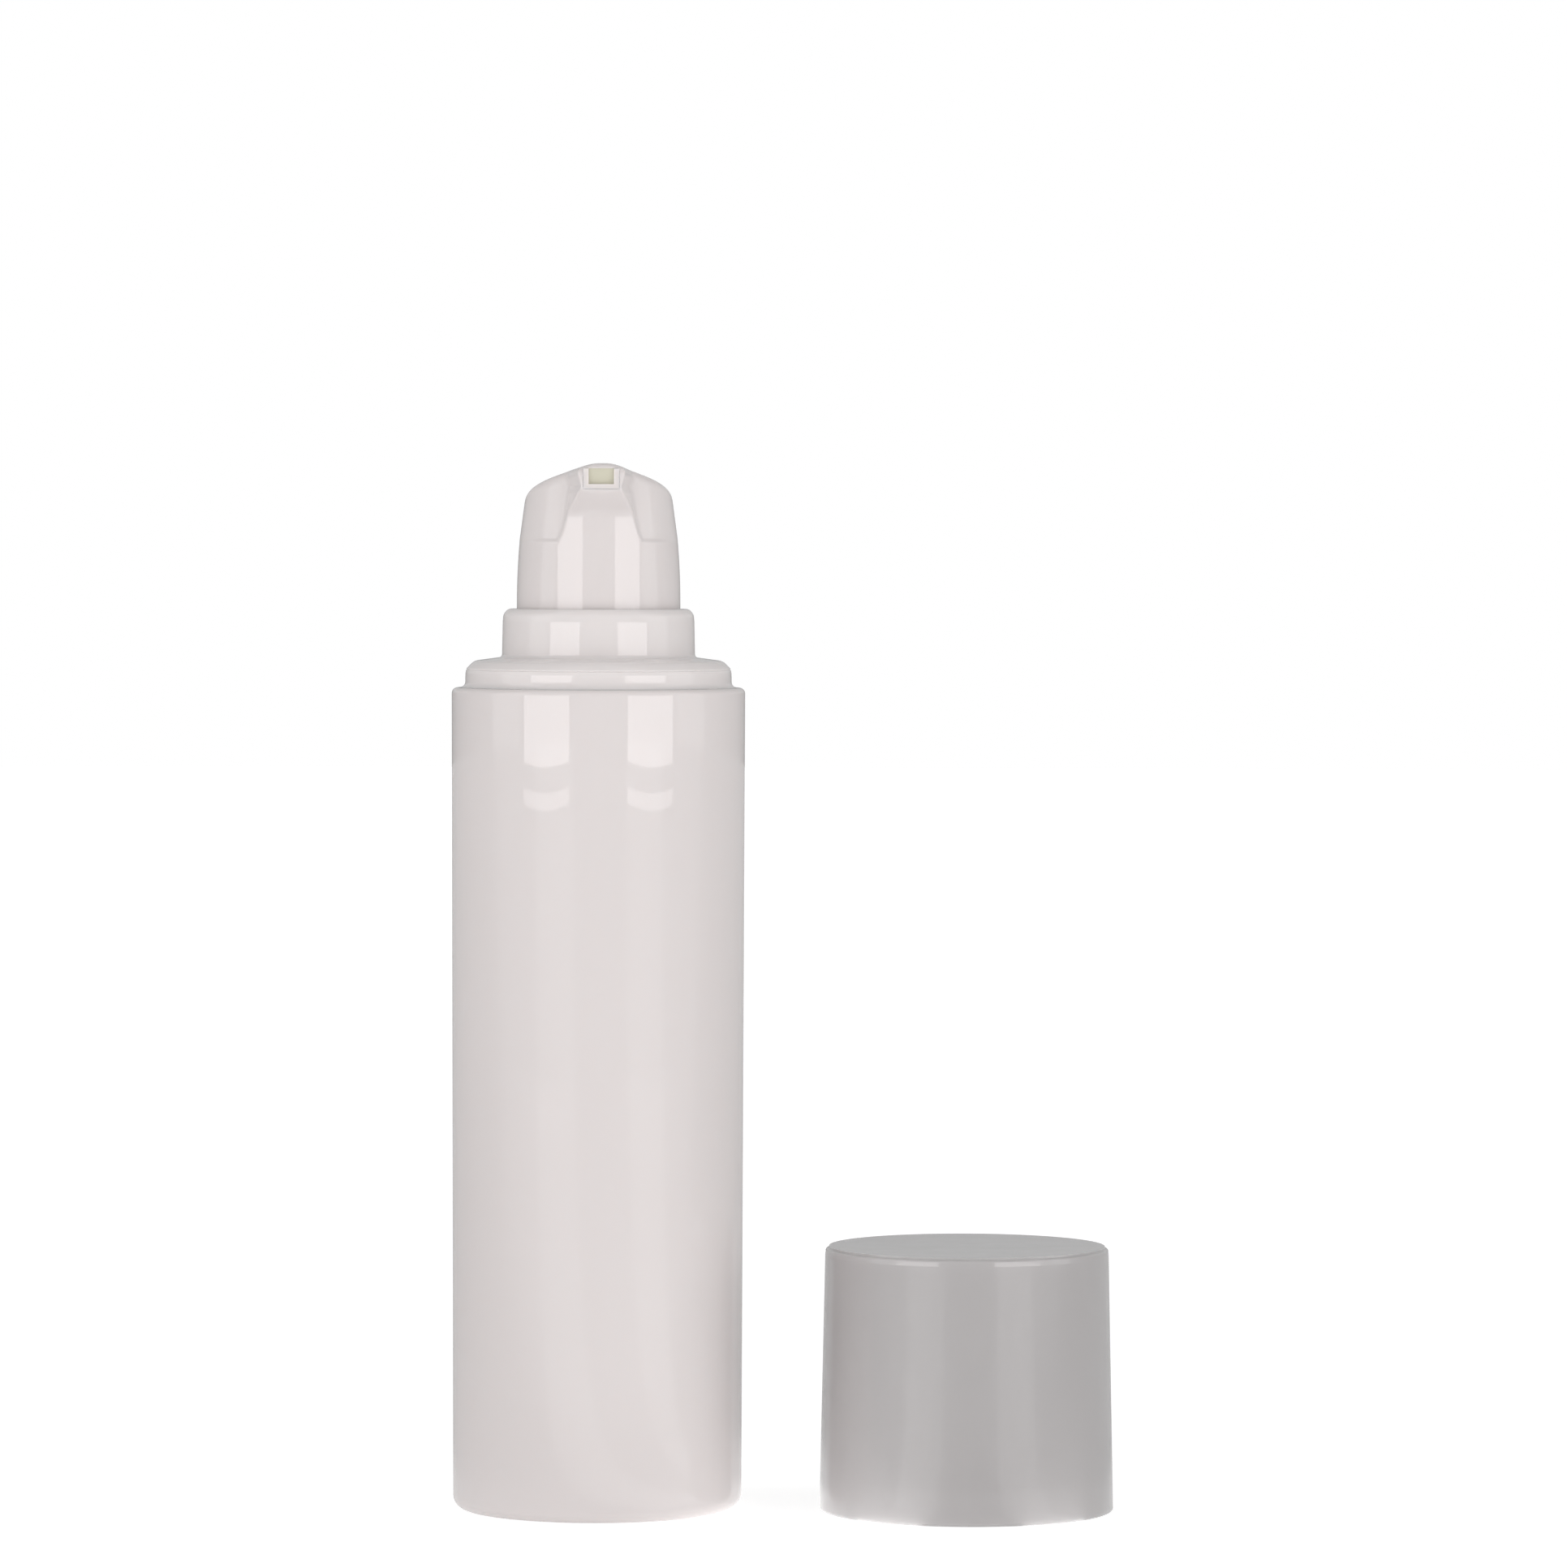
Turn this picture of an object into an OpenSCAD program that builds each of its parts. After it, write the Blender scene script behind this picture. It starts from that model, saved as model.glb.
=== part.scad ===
// Airless pump bottle: a cup-shaped body with a follower piston inside, a snap-in closure with a guide
// turret, a metal-free pump engine, a push button with its spout, and an overcap standing beside it.
// Millimetres, +Z up. The origin is the centre of the bottle's base, and the spout points to -Y.

/* [Bottle body] */
// Height of the body from its base to its rim
body_h = 93.85; // [80:0.05:130]
// Outer radius of the body just under the shoulder
body_top_r = 16.75; // [16.2:0.05:18]
// Radius that the outside loses from the shoulder down to the base, as mould draft
body_draft = 0.25; // [0:0.05:0.6]
// Wall of the body at its rim, round the straight bore that the follower runs in
body_wall = 1.85; // [1.7:0.05:2.1]
// Thickness of the body's floor
floor_t = 1.6; // [1:0.1:3]
// Rounding of the shoulder
shoulder_round = 0.9; // [0.6:0.1:1.4]
// Rounding at the foot of the body
base_round = 1.5; // [1:0.1:3]
// Radius of the recess under the base
punt_r = 11; // [6:0.5:13]
// Depth of the recess under the base
punt_depth = 0.8; // [0.4:0.1:1.5]
// Radius of the air vent in the floor
vent_r = 0.8; // [0.5:0.1:2]

/* [Closure] */
// Height of the closure's ring above the body's rim
ring_h = 3.5; // [2.8:0.1:5]
// How far the ring laps over the body's rim
ring_lap = 0.2; // [0.1:0.05:0.4]
// How far the bead that grips the overcap stands out of the ring
bead_proud = 0.2; // [0.1:0.05:0.4]
// Radius of the bead's section
bead_round = 1.7; // [1.2:0.1:2.5]
// Height of the bead above the body's rim
bead_up = 1.45; // [1.2:0.05:2]
// Rounding of the ring's top edge
ring_round = 1.4; // [0.4:0.1:1.5]
// Thickness of the deck between the ring and the turret
deck_t = 1.4; // [0.8:0.1:1.6]
// Depth of the plug skirt below the body's rim
plug_depth = 8.9; // [7.5:0.1:12]
// Wall of the plug skirt
plug_wall = 1.3; // [0.8:0.1:1.8]
// Depth of the snap bead below the body's rim
snap_down = 5; // [3:0.1:6]
// How far the snap bead stands into the body's groove
snap_proud = 0.14; // [0.08:0.02:0.3]
// Radius of the snap bead's section
snap_round = 0.6; // [0.4:0.1:1]
// Height of the turret above the ring
turret_h = 5.5; // [4.5:0.05:7.5]
// Wall of the turret at its foot
turret_wall = 1.4; // [1:0.1:2]
// Radius that the turret loses up to its top
turret_draft = 0.16; // [0:0.02:0.4]
// Rounding of the turret's top edge
turret_round = 1.2; // [0.5:0.05:1.2]
// Depth of the well's floor below the ring's top
well_depth = 5.15; // [4.6:0.05:7]
// Thickness of the well's floor
well_floor_t = 1.2; // [0.8:0.1:2]
// How far the clip skirt's lip reaches under the housing's flange
clip_lip = 0.4; // [0.2:0.05:0.8]
// Wall of the clip skirt
clip_wall = 1.1; // [0.8:0.1:1.6]

/* [Pump engine] */
// Travel of the button
stroke = 5.5; // [3:0.1:5.5]
// Play of the pump piston on its rod, which opens the ports
lost_motion = 0.7; // [0.4:0.05:1.2]
// Radius of the pump housing's bore
pump_bore_r = 4.6; // [4.3:0.05:5.2]
// Wall of the pump housing
housing_wall = 1; // [0.8:0.1:1.4]
// Radius of the housing's flange
flange_r = 8.4; // [7.8:0.1:8.8]
// Thickness of the housing's flange
flange_t = 1; // [0.8:0.1:1.6]
// Thickness of the gasket
gasket_t = 0.6; // [0.4:0.1:1]
// Width of the gasket
gasket_w = 1.9; // [1.4:0.1:2.2]
// Length of the housing cap's plug inside the housing
cap_plug_l = 2.6; // [1.5:0.1:4]
// Thickness of the housing cap's flange
cap_flange_t = 1; // [0.8:0.1:1.5]
// Outer radius of the stem
stem_r = 2.6; // [2.5:0.05:2.8]
// Radius of the stem's bore
stem_bore_r = 1.4; // [1:0.05:1.7]
// Radius of the stem's stop collar
collar_r = 3.5; // [3.2:0.1:3.9]
// Thickness of the stem's stop collar
collar_t = 1; // [0.6:0.1:1.5]
// Radius of the piston rod
rod_r = 1.9; // [1.8:0.05:2]
// Radius of the rod's bore
rod_bore_r = 1; // [0.6:0.05:1.2]
// Length of the rod's spigot inside the stem
spigot_l = 4; // [2.5:0.1:6]
// Radius of the rod's foot
foot_r = 3.7; // [3:0.1:3.9]
// Thickness of the rod's foot
foot_t = 1.2; // [0.8:0.1:2]
// Height of the pump piston
piston_h = 4.2; // [3.5:0.1:5]
// Radius of the valve ball
ball_r = 1.5; // [1.25:0.05:1.6]
// Lift of the valve ball
ball_lift = 0.9; // [0.5:0.05:1.3]
// Wall of the ball cage
cage_wall = 0.6; // [0.4:0.05:0.8]
// Thickness of the ball cage's roof
cage_roof_t = 0.6; // [0.4:0.05:1]
// Radius of the inlet hole in the housing's bottom
inlet_r = 0.8; // [0.6:0.05:0.9]
// Radius of the return spring to the middle of its wire
spring_r = 4.5; // [4.4:0.05:5]
// Diameter of the spring's wire
wire_d = 0.8; // [0.6:0.05:0.9]
// Turns of the spring
spring_turns = 5.5; // [4:0.5:6]

/* [Follower piston] */
// Wall of the follower's skirt
follower_wall = 0.9; // [0.7:0.05:1.3]
// Radius of the well that takes the pump housing at the end of the travel
follower_well_r = 7.2; // [7:0.1:9]
// Thickness of the follower's webs
follower_web_t = 1.2; // [0.8:0.1:2]
// Depth by which the follower's lips stand out of its waist
lip_relief = 0.5; // [0.3:0.05:0.9]

/* [Button and spout] */
// Radius of the button's skirt
button_r = 9.44; // [9.3:0.02:9.8]
// Height of the button's ridge above the turret
button_rise = 16.5; // [15.5:0.1:19]
// Depth of the button's skirt inside the turret
skirt_in = 4.4; // [3.5:0.1:4.6]
// Wall of the button
button_wall = 1.1; // [0.8:0.05:1.4]
// Slope of the roof to each side, in degrees
roof_slope = 20; // [15:0.5:22]
// Width of the flat on the roof's ridge
ridge_w = 2.5; // [2:0.1:4]
// Rounding of the eaves
eave_round = 2.3; // [1.2:0.05:2.6]
// Depth of the crease below the ridge, where the button's sides start to lean in
crease_down = 8.65; // [8:0.05:10]
// Depth of the brow below the ridge, halfway up the leaning sides
brow_down = 6.35; // [6:0.05:7]
// Depth of the eaves' foot below the ridge
eave_down = 4.45; // [4.2:0.05:5]
// Lean of the side at the crease, from the skirt's radius
crease_lean = 0.29; // [0.1:0.01:0.4]
// Lean of the side at the brow
brow_lean = 0.6; // [0.45:0.01:0.7]
// Lean of the side at the eaves
eave_lean = 0.87; // [0.75:0.01:1.1]
// Half width of the tongue where it leaves the crease
tongue_foot_w = 4.6; // [3.8:0.1:5.4]
// How far the spout's mouth stands in front of the axis
spout_reach = 11.5; // [10.8:0.1:13]
// Width of the spout's mouth frame
mouth_w = 4.1; // [3.6:0.1:5]
// Height of the spout's mouth frame
mouth_h = 2.3; // [2:0.1:2.8]
// Width of the spout's channel
channel_w = 2.85; // [2:0.05:3.2]
// Floor of the spout's channel
channel_floor_t = 0.55; // [0.4:0.05:0.8]
// Cover that the button's roof puts over the channel
cover_t = 0.6; // [0.5:0.05:0.8]
// Where the finger pad starts, in front of the axis
pad_front = 6.5; // [5.5:0.1:7.5]
// Where the finger pad is lowest, behind the axis
pad_back = 6; // [4:0.1:8]
// How far the finger pad drops below the ridge
pad_drop = 4; // [3:0.1:4.2]
// Outer radius of the socket and tower that hold the stem
socket_r = 3.6; // [3.4:0.05:3.7]
// Length of the stem inside the socket
socket_l = 6; // [4:0.1:6.5]

/* [Overcap] */
// Height of the overcap
cap_h = 30.2; // [28.5:0.1:40]
// How far the overcap's rim stands outside the body's shoulder
cap_rim_proud = 0.05; // [0:0.05:0.4]
// Radius that the overcap loses up to its top, as mould draft
cap_draft = 0.6; // [0:0.05:0.8]
// Thickness of the overcap's roof
cap_roof_t = 1.4; // [0.8:0.1:2.5]
// Rounding of the overcap's top edge
cap_round = 1.2; // [0.5:0.1:2]
// Clearance of the overcap's mouth round the closure's bead
cap_mouth_clear = 0.2; // [0.1:0.05:0.4]
// Height of the step inside the mouth
cap_step_up = 4; // [3.7:0.1:6]
// Width of the step inside the mouth
cap_step_w = 0.5; // [0.2:0.05:0.8]
// Height of the upper step above the rim
cap_rib_up = 8.4; // [7.5:0.1:12]
// Width of the upper step
cap_rib_w = 0.25; // [0.1:0.05:0.3]
// Clear gap between the bottle and the overcap that stands beside it
cap_gap = 8.7; // [3:0.1:60]
// Direction from the bottle to the overcap, in degrees from +X
cap_angle = -5.3; // [-90:0.1:90]

/* [Fits] */
// Radial clearance where one piece slides or turns in another
running_fit = 0.04; // [0.02:0.01:0.06]
// Clearance between pieces that are fixed together
seat_fit = 0.02; // [0.01:0.01:0.05]
// Clearance round the button in its turret
button_clear = 0.3; // [0.2:0.05:0.5]
// Gap that parts keep at the ends of their travel
end_gap = 0.3; // [0.2:0.05:0.5]

/* [Hidden] */
$fn = 96;

// Allowance by which a cut runs past the face that it opens
over = 1;

// Gap between pieces that meet face to face across a joint, and between pieces that pass each other
stop_gap = 0.05;
play_gap = 0.1;

// Heights, from the rim up
rim_z = body_h;
ring_top_z = rim_z + ring_h;
turret_top_z = ring_top_z + turret_h;
ridge_z = turret_top_z + button_rise;
skirt_z = turret_top_z - skirt_in;

// Heights, from the closure's well down through the pump engine
well_z = ring_top_z - well_depth;
well_under_z = well_z - well_floor_t;
housing_top_z = well_under_z - gasket_t;
cap_bottom_z = housing_top_z - cap_plug_l;
collar_z = cap_bottom_z - stop_gap - collar_t;
piston_top_z = collar_z - lost_motion - play_gap;
piston_z = piston_top_z - piston_h;
foot_z = piston_z - stop_gap - foot_t;
shelf_z = foot_z - stroke - end_gap;

// The ball valve: the ball rests on a 45 degree seat, a hair above it
seat_low = 0.5;
seat_w = 1.1;
ball_up = seat_low + ball_r * sqrt(2) - inlet_r + stop_gap * sqrt(2);
neck_h = ball_up + ball_r + ball_lift + stop_gap + cage_roof_t;
housing_z = shelf_z - neck_h;
ball_z = housing_z + ball_up;
ball_side_gap = 0.15;
cage_bore_r = ball_r + ball_side_gap;
neck_bore_r = cage_bore_r + cage_wall + seat_fit;
cage_z = housing_z + seat_low + seat_w;

// Radii that follow from a neighbour
bore_r = body_top_r - body_wall;
ring_r = bore_r + ring_lap;
bead_r = ring_r + bead_proud;
body_base_r = body_top_r - body_draft;
turret_bore_r = button_r + button_clear;
turret_base_r = turret_bore_r + turret_wall;
plug_r = bore_r - seat_fit;
housing_r = pump_bore_r + housing_wall;
gasket_hole_r = flange_r - gasket_w;
cap_flange_r = gasket_hole_r - play_gap;
guide_collar_r = spring_r - wire_d / 2 - end_gap;
snap_x = plug_r + snap_proud - snap_round;
snap_z = rim_z - snap_down;

// The follower: it lies on the floor when full, and nests round the housing when empty
inner_floor_z = punt_depth + floor_t;
follower_z = inner_floor_z + stop_gap;
follower_end_z = rim_z - plug_depth - 2 * end_gap;
follower_h = follower_end_z - housing_z + 2 * end_gap + follower_web_t;
follower_lip_r = bore_r - running_fit / 2;
follower_travel = follower_end_z - follower_z - follower_h;

// The button, from its skirt to the roof
crease_z = ridge_z - crease_down;
brow_z = ridge_z - brow_down;
eave_z = ridge_z - eave_down;
crease_r = button_r - crease_lean;
brow_r = button_r - brow_lean;
eave_r = button_r - eave_lean;
pad_r = (pow(pad_front + pad_back, 2) + pow(pad_drop, 2)) / (2 * pad_drop);
pad_centre_z = ridge_z - pad_drop + pad_r;
mouth_y = -spout_reach;
mouth_proud = 0.2;
beak_y = mouth_y + mouth_proud;
beak_flank = 0.45;

// The stem's socket inside the button
guide_collar_h = 0.8;
spring_z = housing_top_z + cap_flange_t;
socket_z = max(well_z, spring_z + guide_collar_h) + stroke + 4 * end_gap;
stem_top_z = socket_z + socket_l;
socket_flange_t = 1;
spring_top_z = stem_top_z - 1.5 * socket_flange_t;
boss_wall = 1;
tower_roof_t = 1;
channel_back_t = 1.7;
channel_back_y = socket_r - channel_back_t;

// The overcap's place and bores
cap_rim_r = body_top_r + cap_rim_proud;
cap_top_r = cap_rim_r - cap_draft;
cap_mouth_r = bead_r + cap_mouth_clear;
cap_bore_r = cap_mouth_r - cap_step_w;
cap_far = body_top_r + cap_rim_r + cap_gap;
cap_x = cap_far * cos(cap_angle);
cap_y = cap_far * sin(cap_angle);

// Height of the button's top over a point y on the middle plane
function pad_z(y) = y < -pad_front ? ridge_z : pad_centre_z - sqrt(pow(pad_r, 2) - pow(y - pad_back, 2));

// Height of the spout channel's top edge over a point y
function channel_top(y) = pad_z(y) - cover_t;

// The waste outside a rounded corner that points to +X and +Y at the origin
module corner_waste(r) {
    difference() {
        translate([-r, -r]) square(r + over);
        translate([-r, -r]) circle(r);
    }
}

// A flat ring or disc from its radii and heights
module ring(outer, inner, low, high) {
    translate([0, 0, low]) difference() {
        cylinder(r = outer, h = high - low);
        translate([0, 0, -over]) cylinder(r = inner, h = high - low + 2 * over);
    }
}

// An outline in Y and Z, drawn out to a width along X about the middle plane
module drawn_across(width) {
    rotate([90, 0, 90]) linear_extrude(width, center = true) children();
}

module bottle_body() {
    color("white") difference() {
        rotate_extrude() difference() {
            polygon([[0, 0], [body_base_r, 0], [body_top_r, rim_z], [0, rim_z]]);
            translate([body_top_r, rim_z]) corner_waste(shoulder_round);
            translate([body_base_r, 0]) mirror([0, 1]) corner_waste(base_round);
            translate([0, inner_floor_z]) square([bore_r, rim_z]);
            translate([0, -over]) square([punt_r, punt_depth + over]);
            translate([snap_x, snap_z]) circle(snap_round + seat_fit);
        }
        translate([0, 0, -over]) cylinder(r = vent_r, h = inner_floor_z + 2 * over);
    }
}

// A bead of round section that stands out of a wall, as a ring that reaches half a wall deep
module bead(centre_r, centre_z, section_r, wall_r, wall) {
    rotate_extrude() intersection() {
        translate([centre_r, centre_z]) circle(section_r);
        translate([wall_r - wall / 2, centre_z - section_r]) square([wall, 2 * section_r]);
    }
}

module closure() {
    clip_r = flange_r + seat_fit;
    clip_z = housing_top_z - flange_t - seat_fit;
    clip_lip_t = 0.8;
    clip_bottom_z = clip_z - clip_lip_t;
    plug_bottom_z = rim_z - plug_depth;
    color("white") union() {
        rotate_extrude() difference() {
            polygon([
                [turret_bore_r, turret_top_z], [turret_base_r - turret_draft, turret_top_z],
                [turret_base_r, ring_top_z], [ring_r, ring_top_z], [ring_r, rim_z], [plug_r, rim_z],
                [plug_r, plug_bottom_z], [plug_r - plug_wall, plug_bottom_z],
                [plug_r - plug_wall, ring_top_z - deck_t], [turret_base_r, ring_top_z - deck_t],
                [turret_base_r, well_under_z], [clip_r + clip_wall, well_under_z],
                [clip_r + clip_wall, clip_bottom_z], [clip_r - clip_lip, clip_bottom_z],
                [clip_r - clip_lip, clip_z], [clip_r, clip_z], [clip_r, well_under_z],
                [gasket_hole_r, well_under_z], [gasket_hole_r, well_z], [turret_bore_r, well_z]
            ]);
            translate([turret_base_r - turret_draft, turret_top_z]) corner_waste(turret_round);
            translate([ring_r, ring_top_z]) corner_waste(ring_round);
        }
        bead(bead_r - bead_round, rim_z + bead_up, bead_round, ring_r, plug_wall);
        bead(snap_x, snap_z, snap_round, plug_r, plug_wall);
    }
}

module neck_gasket() {
    color("gainsboro") ring(flange_r, gasket_hole_r, housing_top_z, well_under_z);
}

module pump_housing() {
    neck_r = neck_bore_r + housing_wall;
    taper_h = 1;
    color("ivory") rotate_extrude() difference() {
        polygon([
            [0, housing_z], [neck_r, housing_z], [neck_r, shelf_z - housing_wall - taper_h],
            [housing_r, shelf_z - housing_wall], [housing_r, housing_top_z - flange_t],
            [flange_r, housing_top_z - flange_t], [flange_r, housing_top_z], [0, housing_top_z]
        ]);
        translate([0, shelf_z]) square([pump_bore_r, housing_top_z]);
        translate([0, cage_z]) square([neck_bore_r, neck_h]);
        translate([0, housing_z]) polygon([
            [0, -over], [inlet_r, -over], [inlet_r, seat_low],
            [inlet_r + seat_w, seat_low + seat_w], [0, seat_low + seat_w]
        ]);
    }
}

module ball_cage() {
    roof_z = shelf_z - cage_roof_t;
    port_r = 0.45;
    port_x = cage_bore_r - port_r - ball_side_gap;
    color("ivory") difference() {
        translate([0, 0, cage_z]) cylinder(r = cage_bore_r + cage_wall, h = shelf_z - cage_z);
        translate([0, 0, cage_z - over]) cylinder(r = cage_bore_r, h = roof_z - cage_z + over);
        for (turn = [0 : 120 : 240]) rotate(turn)
            translate([port_x, 0, roof_z - over]) cylinder(r = port_r, h = cage_roof_t + 2 * over);
    }
}

module inlet_ball() {
    color("silver") translate([0, 0, ball_z]) sphere(ball_r);
}

module housing_cap() {
    color("ivory") difference() {
        union() {
            translate([0, 0, cap_bottom_z]) cylinder(r = pump_bore_r - seat_fit, h = cap_plug_l);
            translate([0, 0, housing_top_z]) cylinder(r = cap_flange_r, h = cap_flange_t);
            translate([0, 0, housing_top_z]) cylinder(r = guide_collar_r, h = cap_flange_t + guide_collar_h);
        }
        translate([0, 0, cap_bottom_z - over]) cylinder(r = stem_r + running_fit, h = 3 * cap_plug_l);
    }
}

// The spring's wire: a tube swept along a helix whose end turns lie closer than the middle ones
module return_spring() {
    sides = 6;
    steps = ceil(spring_turns * 14);
    wire_r = wire_d / 2;
    low = spring_z + wire_r + seat_fit;
    high = spring_top_z - wire_r - seat_fit;
    end_pitch = 0.42 + wire_d;
    function rise(t) = t * spring_turns < 1 ? end_pitch * t * spring_turns
        : t * spring_turns > spring_turns - 1 ? high - low - end_pitch * (1 - t) * spring_turns
        : end_pitch + (high - low - 2 * end_pitch) * (t * spring_turns - 1) / (spring_turns - 2);
    rings = [for (i = [0 : steps]) let (t = i / steps, turn = 360 * spring_turns * t)
        [for (s = [0 : sides - 1]) let (a = 360 * s / sides, r = spring_r + wire_r * cos(a))
            [r * cos(turn), r * sin(turn), low + rise(t) + wire_r * sin(a)]]];
    points = [for (one = rings) for (p = one) p];
    walls = [for (i = [0 : steps - 1]) for (s = [0 : sides - 1])
        let (a = i * sides + s, b = i * sides + (s + 1) % sides)
        each [[a, a + sides, b], [b, a + sides, b + sides]]];
    ends = [[for (s = [0 : sides - 1]) s], [for (s = [sides - 1 : -1 : 0]) steps * sides + s]];
    color("lightsteelblue") polyhedron(points, concat(walls, ends));
}

module stem() {
    color("ivory") difference() {
        union() {
            translate([0, 0, collar_z]) cylinder(r = stem_r, h = stem_top_z - collar_z);
            translate([0, 0, collar_z]) cylinder(r = collar_r, h = collar_t);
        }
        translate([0, 0, collar_z - over]) cylinder(r = stem_bore_r, h = stem_top_z - collar_z + 2 * over);
        translate([0, 0, collar_z - over]) cylinder(r = rod_r + seat_fit, h = spigot_l + over);
    }
}

module piston_rod() {
    port_r = 0.3;
    port_z = piston_z + lost_motion / 2;
    color("ivory") difference() {
        union() {
            translate([0, 0, foot_z]) cylinder(r = foot_r, h = foot_t);
            translate([0, 0, foot_z]) cylinder(r = rod_r, h = collar_z + spigot_l - seat_fit - foot_z);
        }
        translate([0, 0, foot_z + foot_t]) cylinder(r = rod_bore_r, h = stem_top_z);
        for (turn = [0, 90]) translate([0, 0, port_z]) rotate([90, 0, turn])
            cylinder(r = port_r, h = 3 * rod_r, center = true);
    }
}

module pump_piston() {
    inner_r = rod_r + running_fit;
    lip_r = pump_bore_r - running_fit / 2;
    lip_h = 0.7;
    lip_t = 0.4;
    lip_edge = 0.15;
    waist_r = lip_r - lip_t;
    groove_r = (inner_r + lip_r) / 2;
    color("whitesmoke") translate([0, 0, piston_z]) rotate_extrude() polygon([
        [inner_r, 0], [groove_r - lip_t, 0], [groove_r, lip_h], [waist_r, 0], [lip_r, lip_edge],
        [lip_r, lip_h], [waist_r, 2 * lip_h], [waist_r, piston_h - 2 * lip_h],
        [lip_r, piston_h - lip_h], [lip_r, piston_h - lip_edge], [waist_r, piston_h],
        [groove_r, piston_h - lip_h], [groove_r - lip_t, piston_h], [inner_r, piston_h]
    ]);
}

// The button's side, turned round the axis and drawn in by a wall
module button_side(wall) {
    rotate_extrude() polygon([
        [0, skirt_z - over], [button_r - wall, skirt_z - over], [button_r - wall, turret_top_z],
        [crease_r - wall, crease_z], [brow_r - wall, brow_z], [eave_r - wall, eave_z],
        [eave_r - wall, ridge_z], [0, ridge_z]
    ]);
}

// The front view of the roof: a flat ridge, two slopes and rounded eaves, over the whole depth
module roof_form(drop) {
    arc_x = eave_r - eave_round;
    arc_z = ridge_z - (arc_x - ridge_w / 2) * tan(roof_slope) - eave_round / cos(roof_slope);
    side = concat(
        [[ridge_w / 2, ridge_z]],
        [for (a = [90 - roof_slope : -12 : 8]) [arc_x + eave_round * cos(a), arc_z + eave_round * sin(a)]],
        [[button_r + 1, crease_z], [button_r + 1, skirt_z]]
    );
    other = [for (i = [len(side) - 1 : -1 : 0]) [-side[i][0], side[i][1]]];
    translate([0, 0, -drop]) rotate([90, 0, 0])
        linear_extrude(4 * button_r, center = true) polygon(concat(side, other));
}

// The finger pad: a trough across the button that starts behind the spout
module pad_waste(wall) {
    translate([0, pad_back, pad_centre_z]) rotate([0, 90, 0])
        cylinder(r = pad_r + wall, h = 4 * button_r, center = true);
}

// The tongue that stays upright under the spout, with the outline of its front view
module tongue() {
    foot_w = tongue_foot_w;
    tongue_proud = 0.1;
    head_w = mouth_w / 2 + beak_flank;
    head_z = ridge_z - mouth_h;
    intersection() {
        translate([0, 0, crease_z - over])
            cylinder(r = crease_r + tongue_proud, h = ridge_z - crease_z + over);
        translate([0, -button_r / 2, 0]) rotate([90, 0, 0]) linear_extrude(button_r, center = true)
            polygon([[-foot_w, crease_z - over], [foot_w, crease_z - over], [foot_w, crease_z],
                [head_w, head_z], [head_w, ridge_z], [-head_w, ridge_z], [-head_w, head_z],
                [-foot_w, crease_z]]);
    }
}

// The beak that carries the spout's mouth forward
module beak() {
    face_w = mouth_w + 2 * beak_flank;
    face_h = mouth_h + cover_t + mouth_proud;
    slab = 1;
    root_w = 1.5 * tongue_foot_w;
    root_z = brow_z + slab / 4;
    hull() {
        translate([-face_w / 2, beak_y, ridge_z - face_h]) cube([face_w, slab, face_h]);
        translate([-root_w / 2, slab / 4 - brow_r, root_z]) cube([root_w, slab, slab / 2]);
        translate([-root_w / 2, -pad_front, root_z]) cube([root_w, slab, ridge_z - root_z]);
    }
}

// The spout channel's outside in side view, grown by a clearance
module channel_outline(clear) {
    last = 5;
    step = (channel_back_y + pad_front) / (last - 1);
    stops = [for (i = [0 : last]) i == 0 ? mouth_y : step * (i - 1) - pad_front];
    function side_y(i) = i == 0 ? stops[i] - clear : i == last ? stops[i] + clear : stops[i];
    polygon(concat(
        [for (i = [0 : last]) [side_y(i), channel_top(stops[i]) + clear]],
        [for (i = [last : -1 : 0]) [side_y(i), channel_top(stops[i]) - mouth_h - clear]]
    ));
}

module actuator() {
    boss_top_z = channel_top(socket_r) - tower_roof_t;
    boss_hole_r = socket_r + stop_gap;
    color("white") difference() {
        intersection() {
            union() {
                button_side(0);
                tongue();
                beak();
            }
            roof_form(0);
        }
        pad_waste(0);
        difference() {
            intersection() {
                button_side(button_wall);
                roof_form(button_wall / cos(roof_slope));
            }
            pad_waste(button_wall);
            translate([0, 0, spring_top_z + socket_flange_t + seat_fit])
                cylinder(r = boss_hole_r + boss_wall, h = ridge_z - spring_top_z);
            drawn_across(mouth_w + 2 * boss_wall) channel_outline(boss_wall);
        }
        translate([0, 0, skirt_z]) mirror([0, 0, 1]) cylinder(r = 2 * button_r, h = 2 * over);
        translate([0, 0, spring_top_z]) cylinder(r = boss_hole_r, h = boss_top_z - spring_top_z);
        drawn_across(mouth_w + 2 * seat_fit) channel_outline(seat_fit);
    }
}

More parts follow.
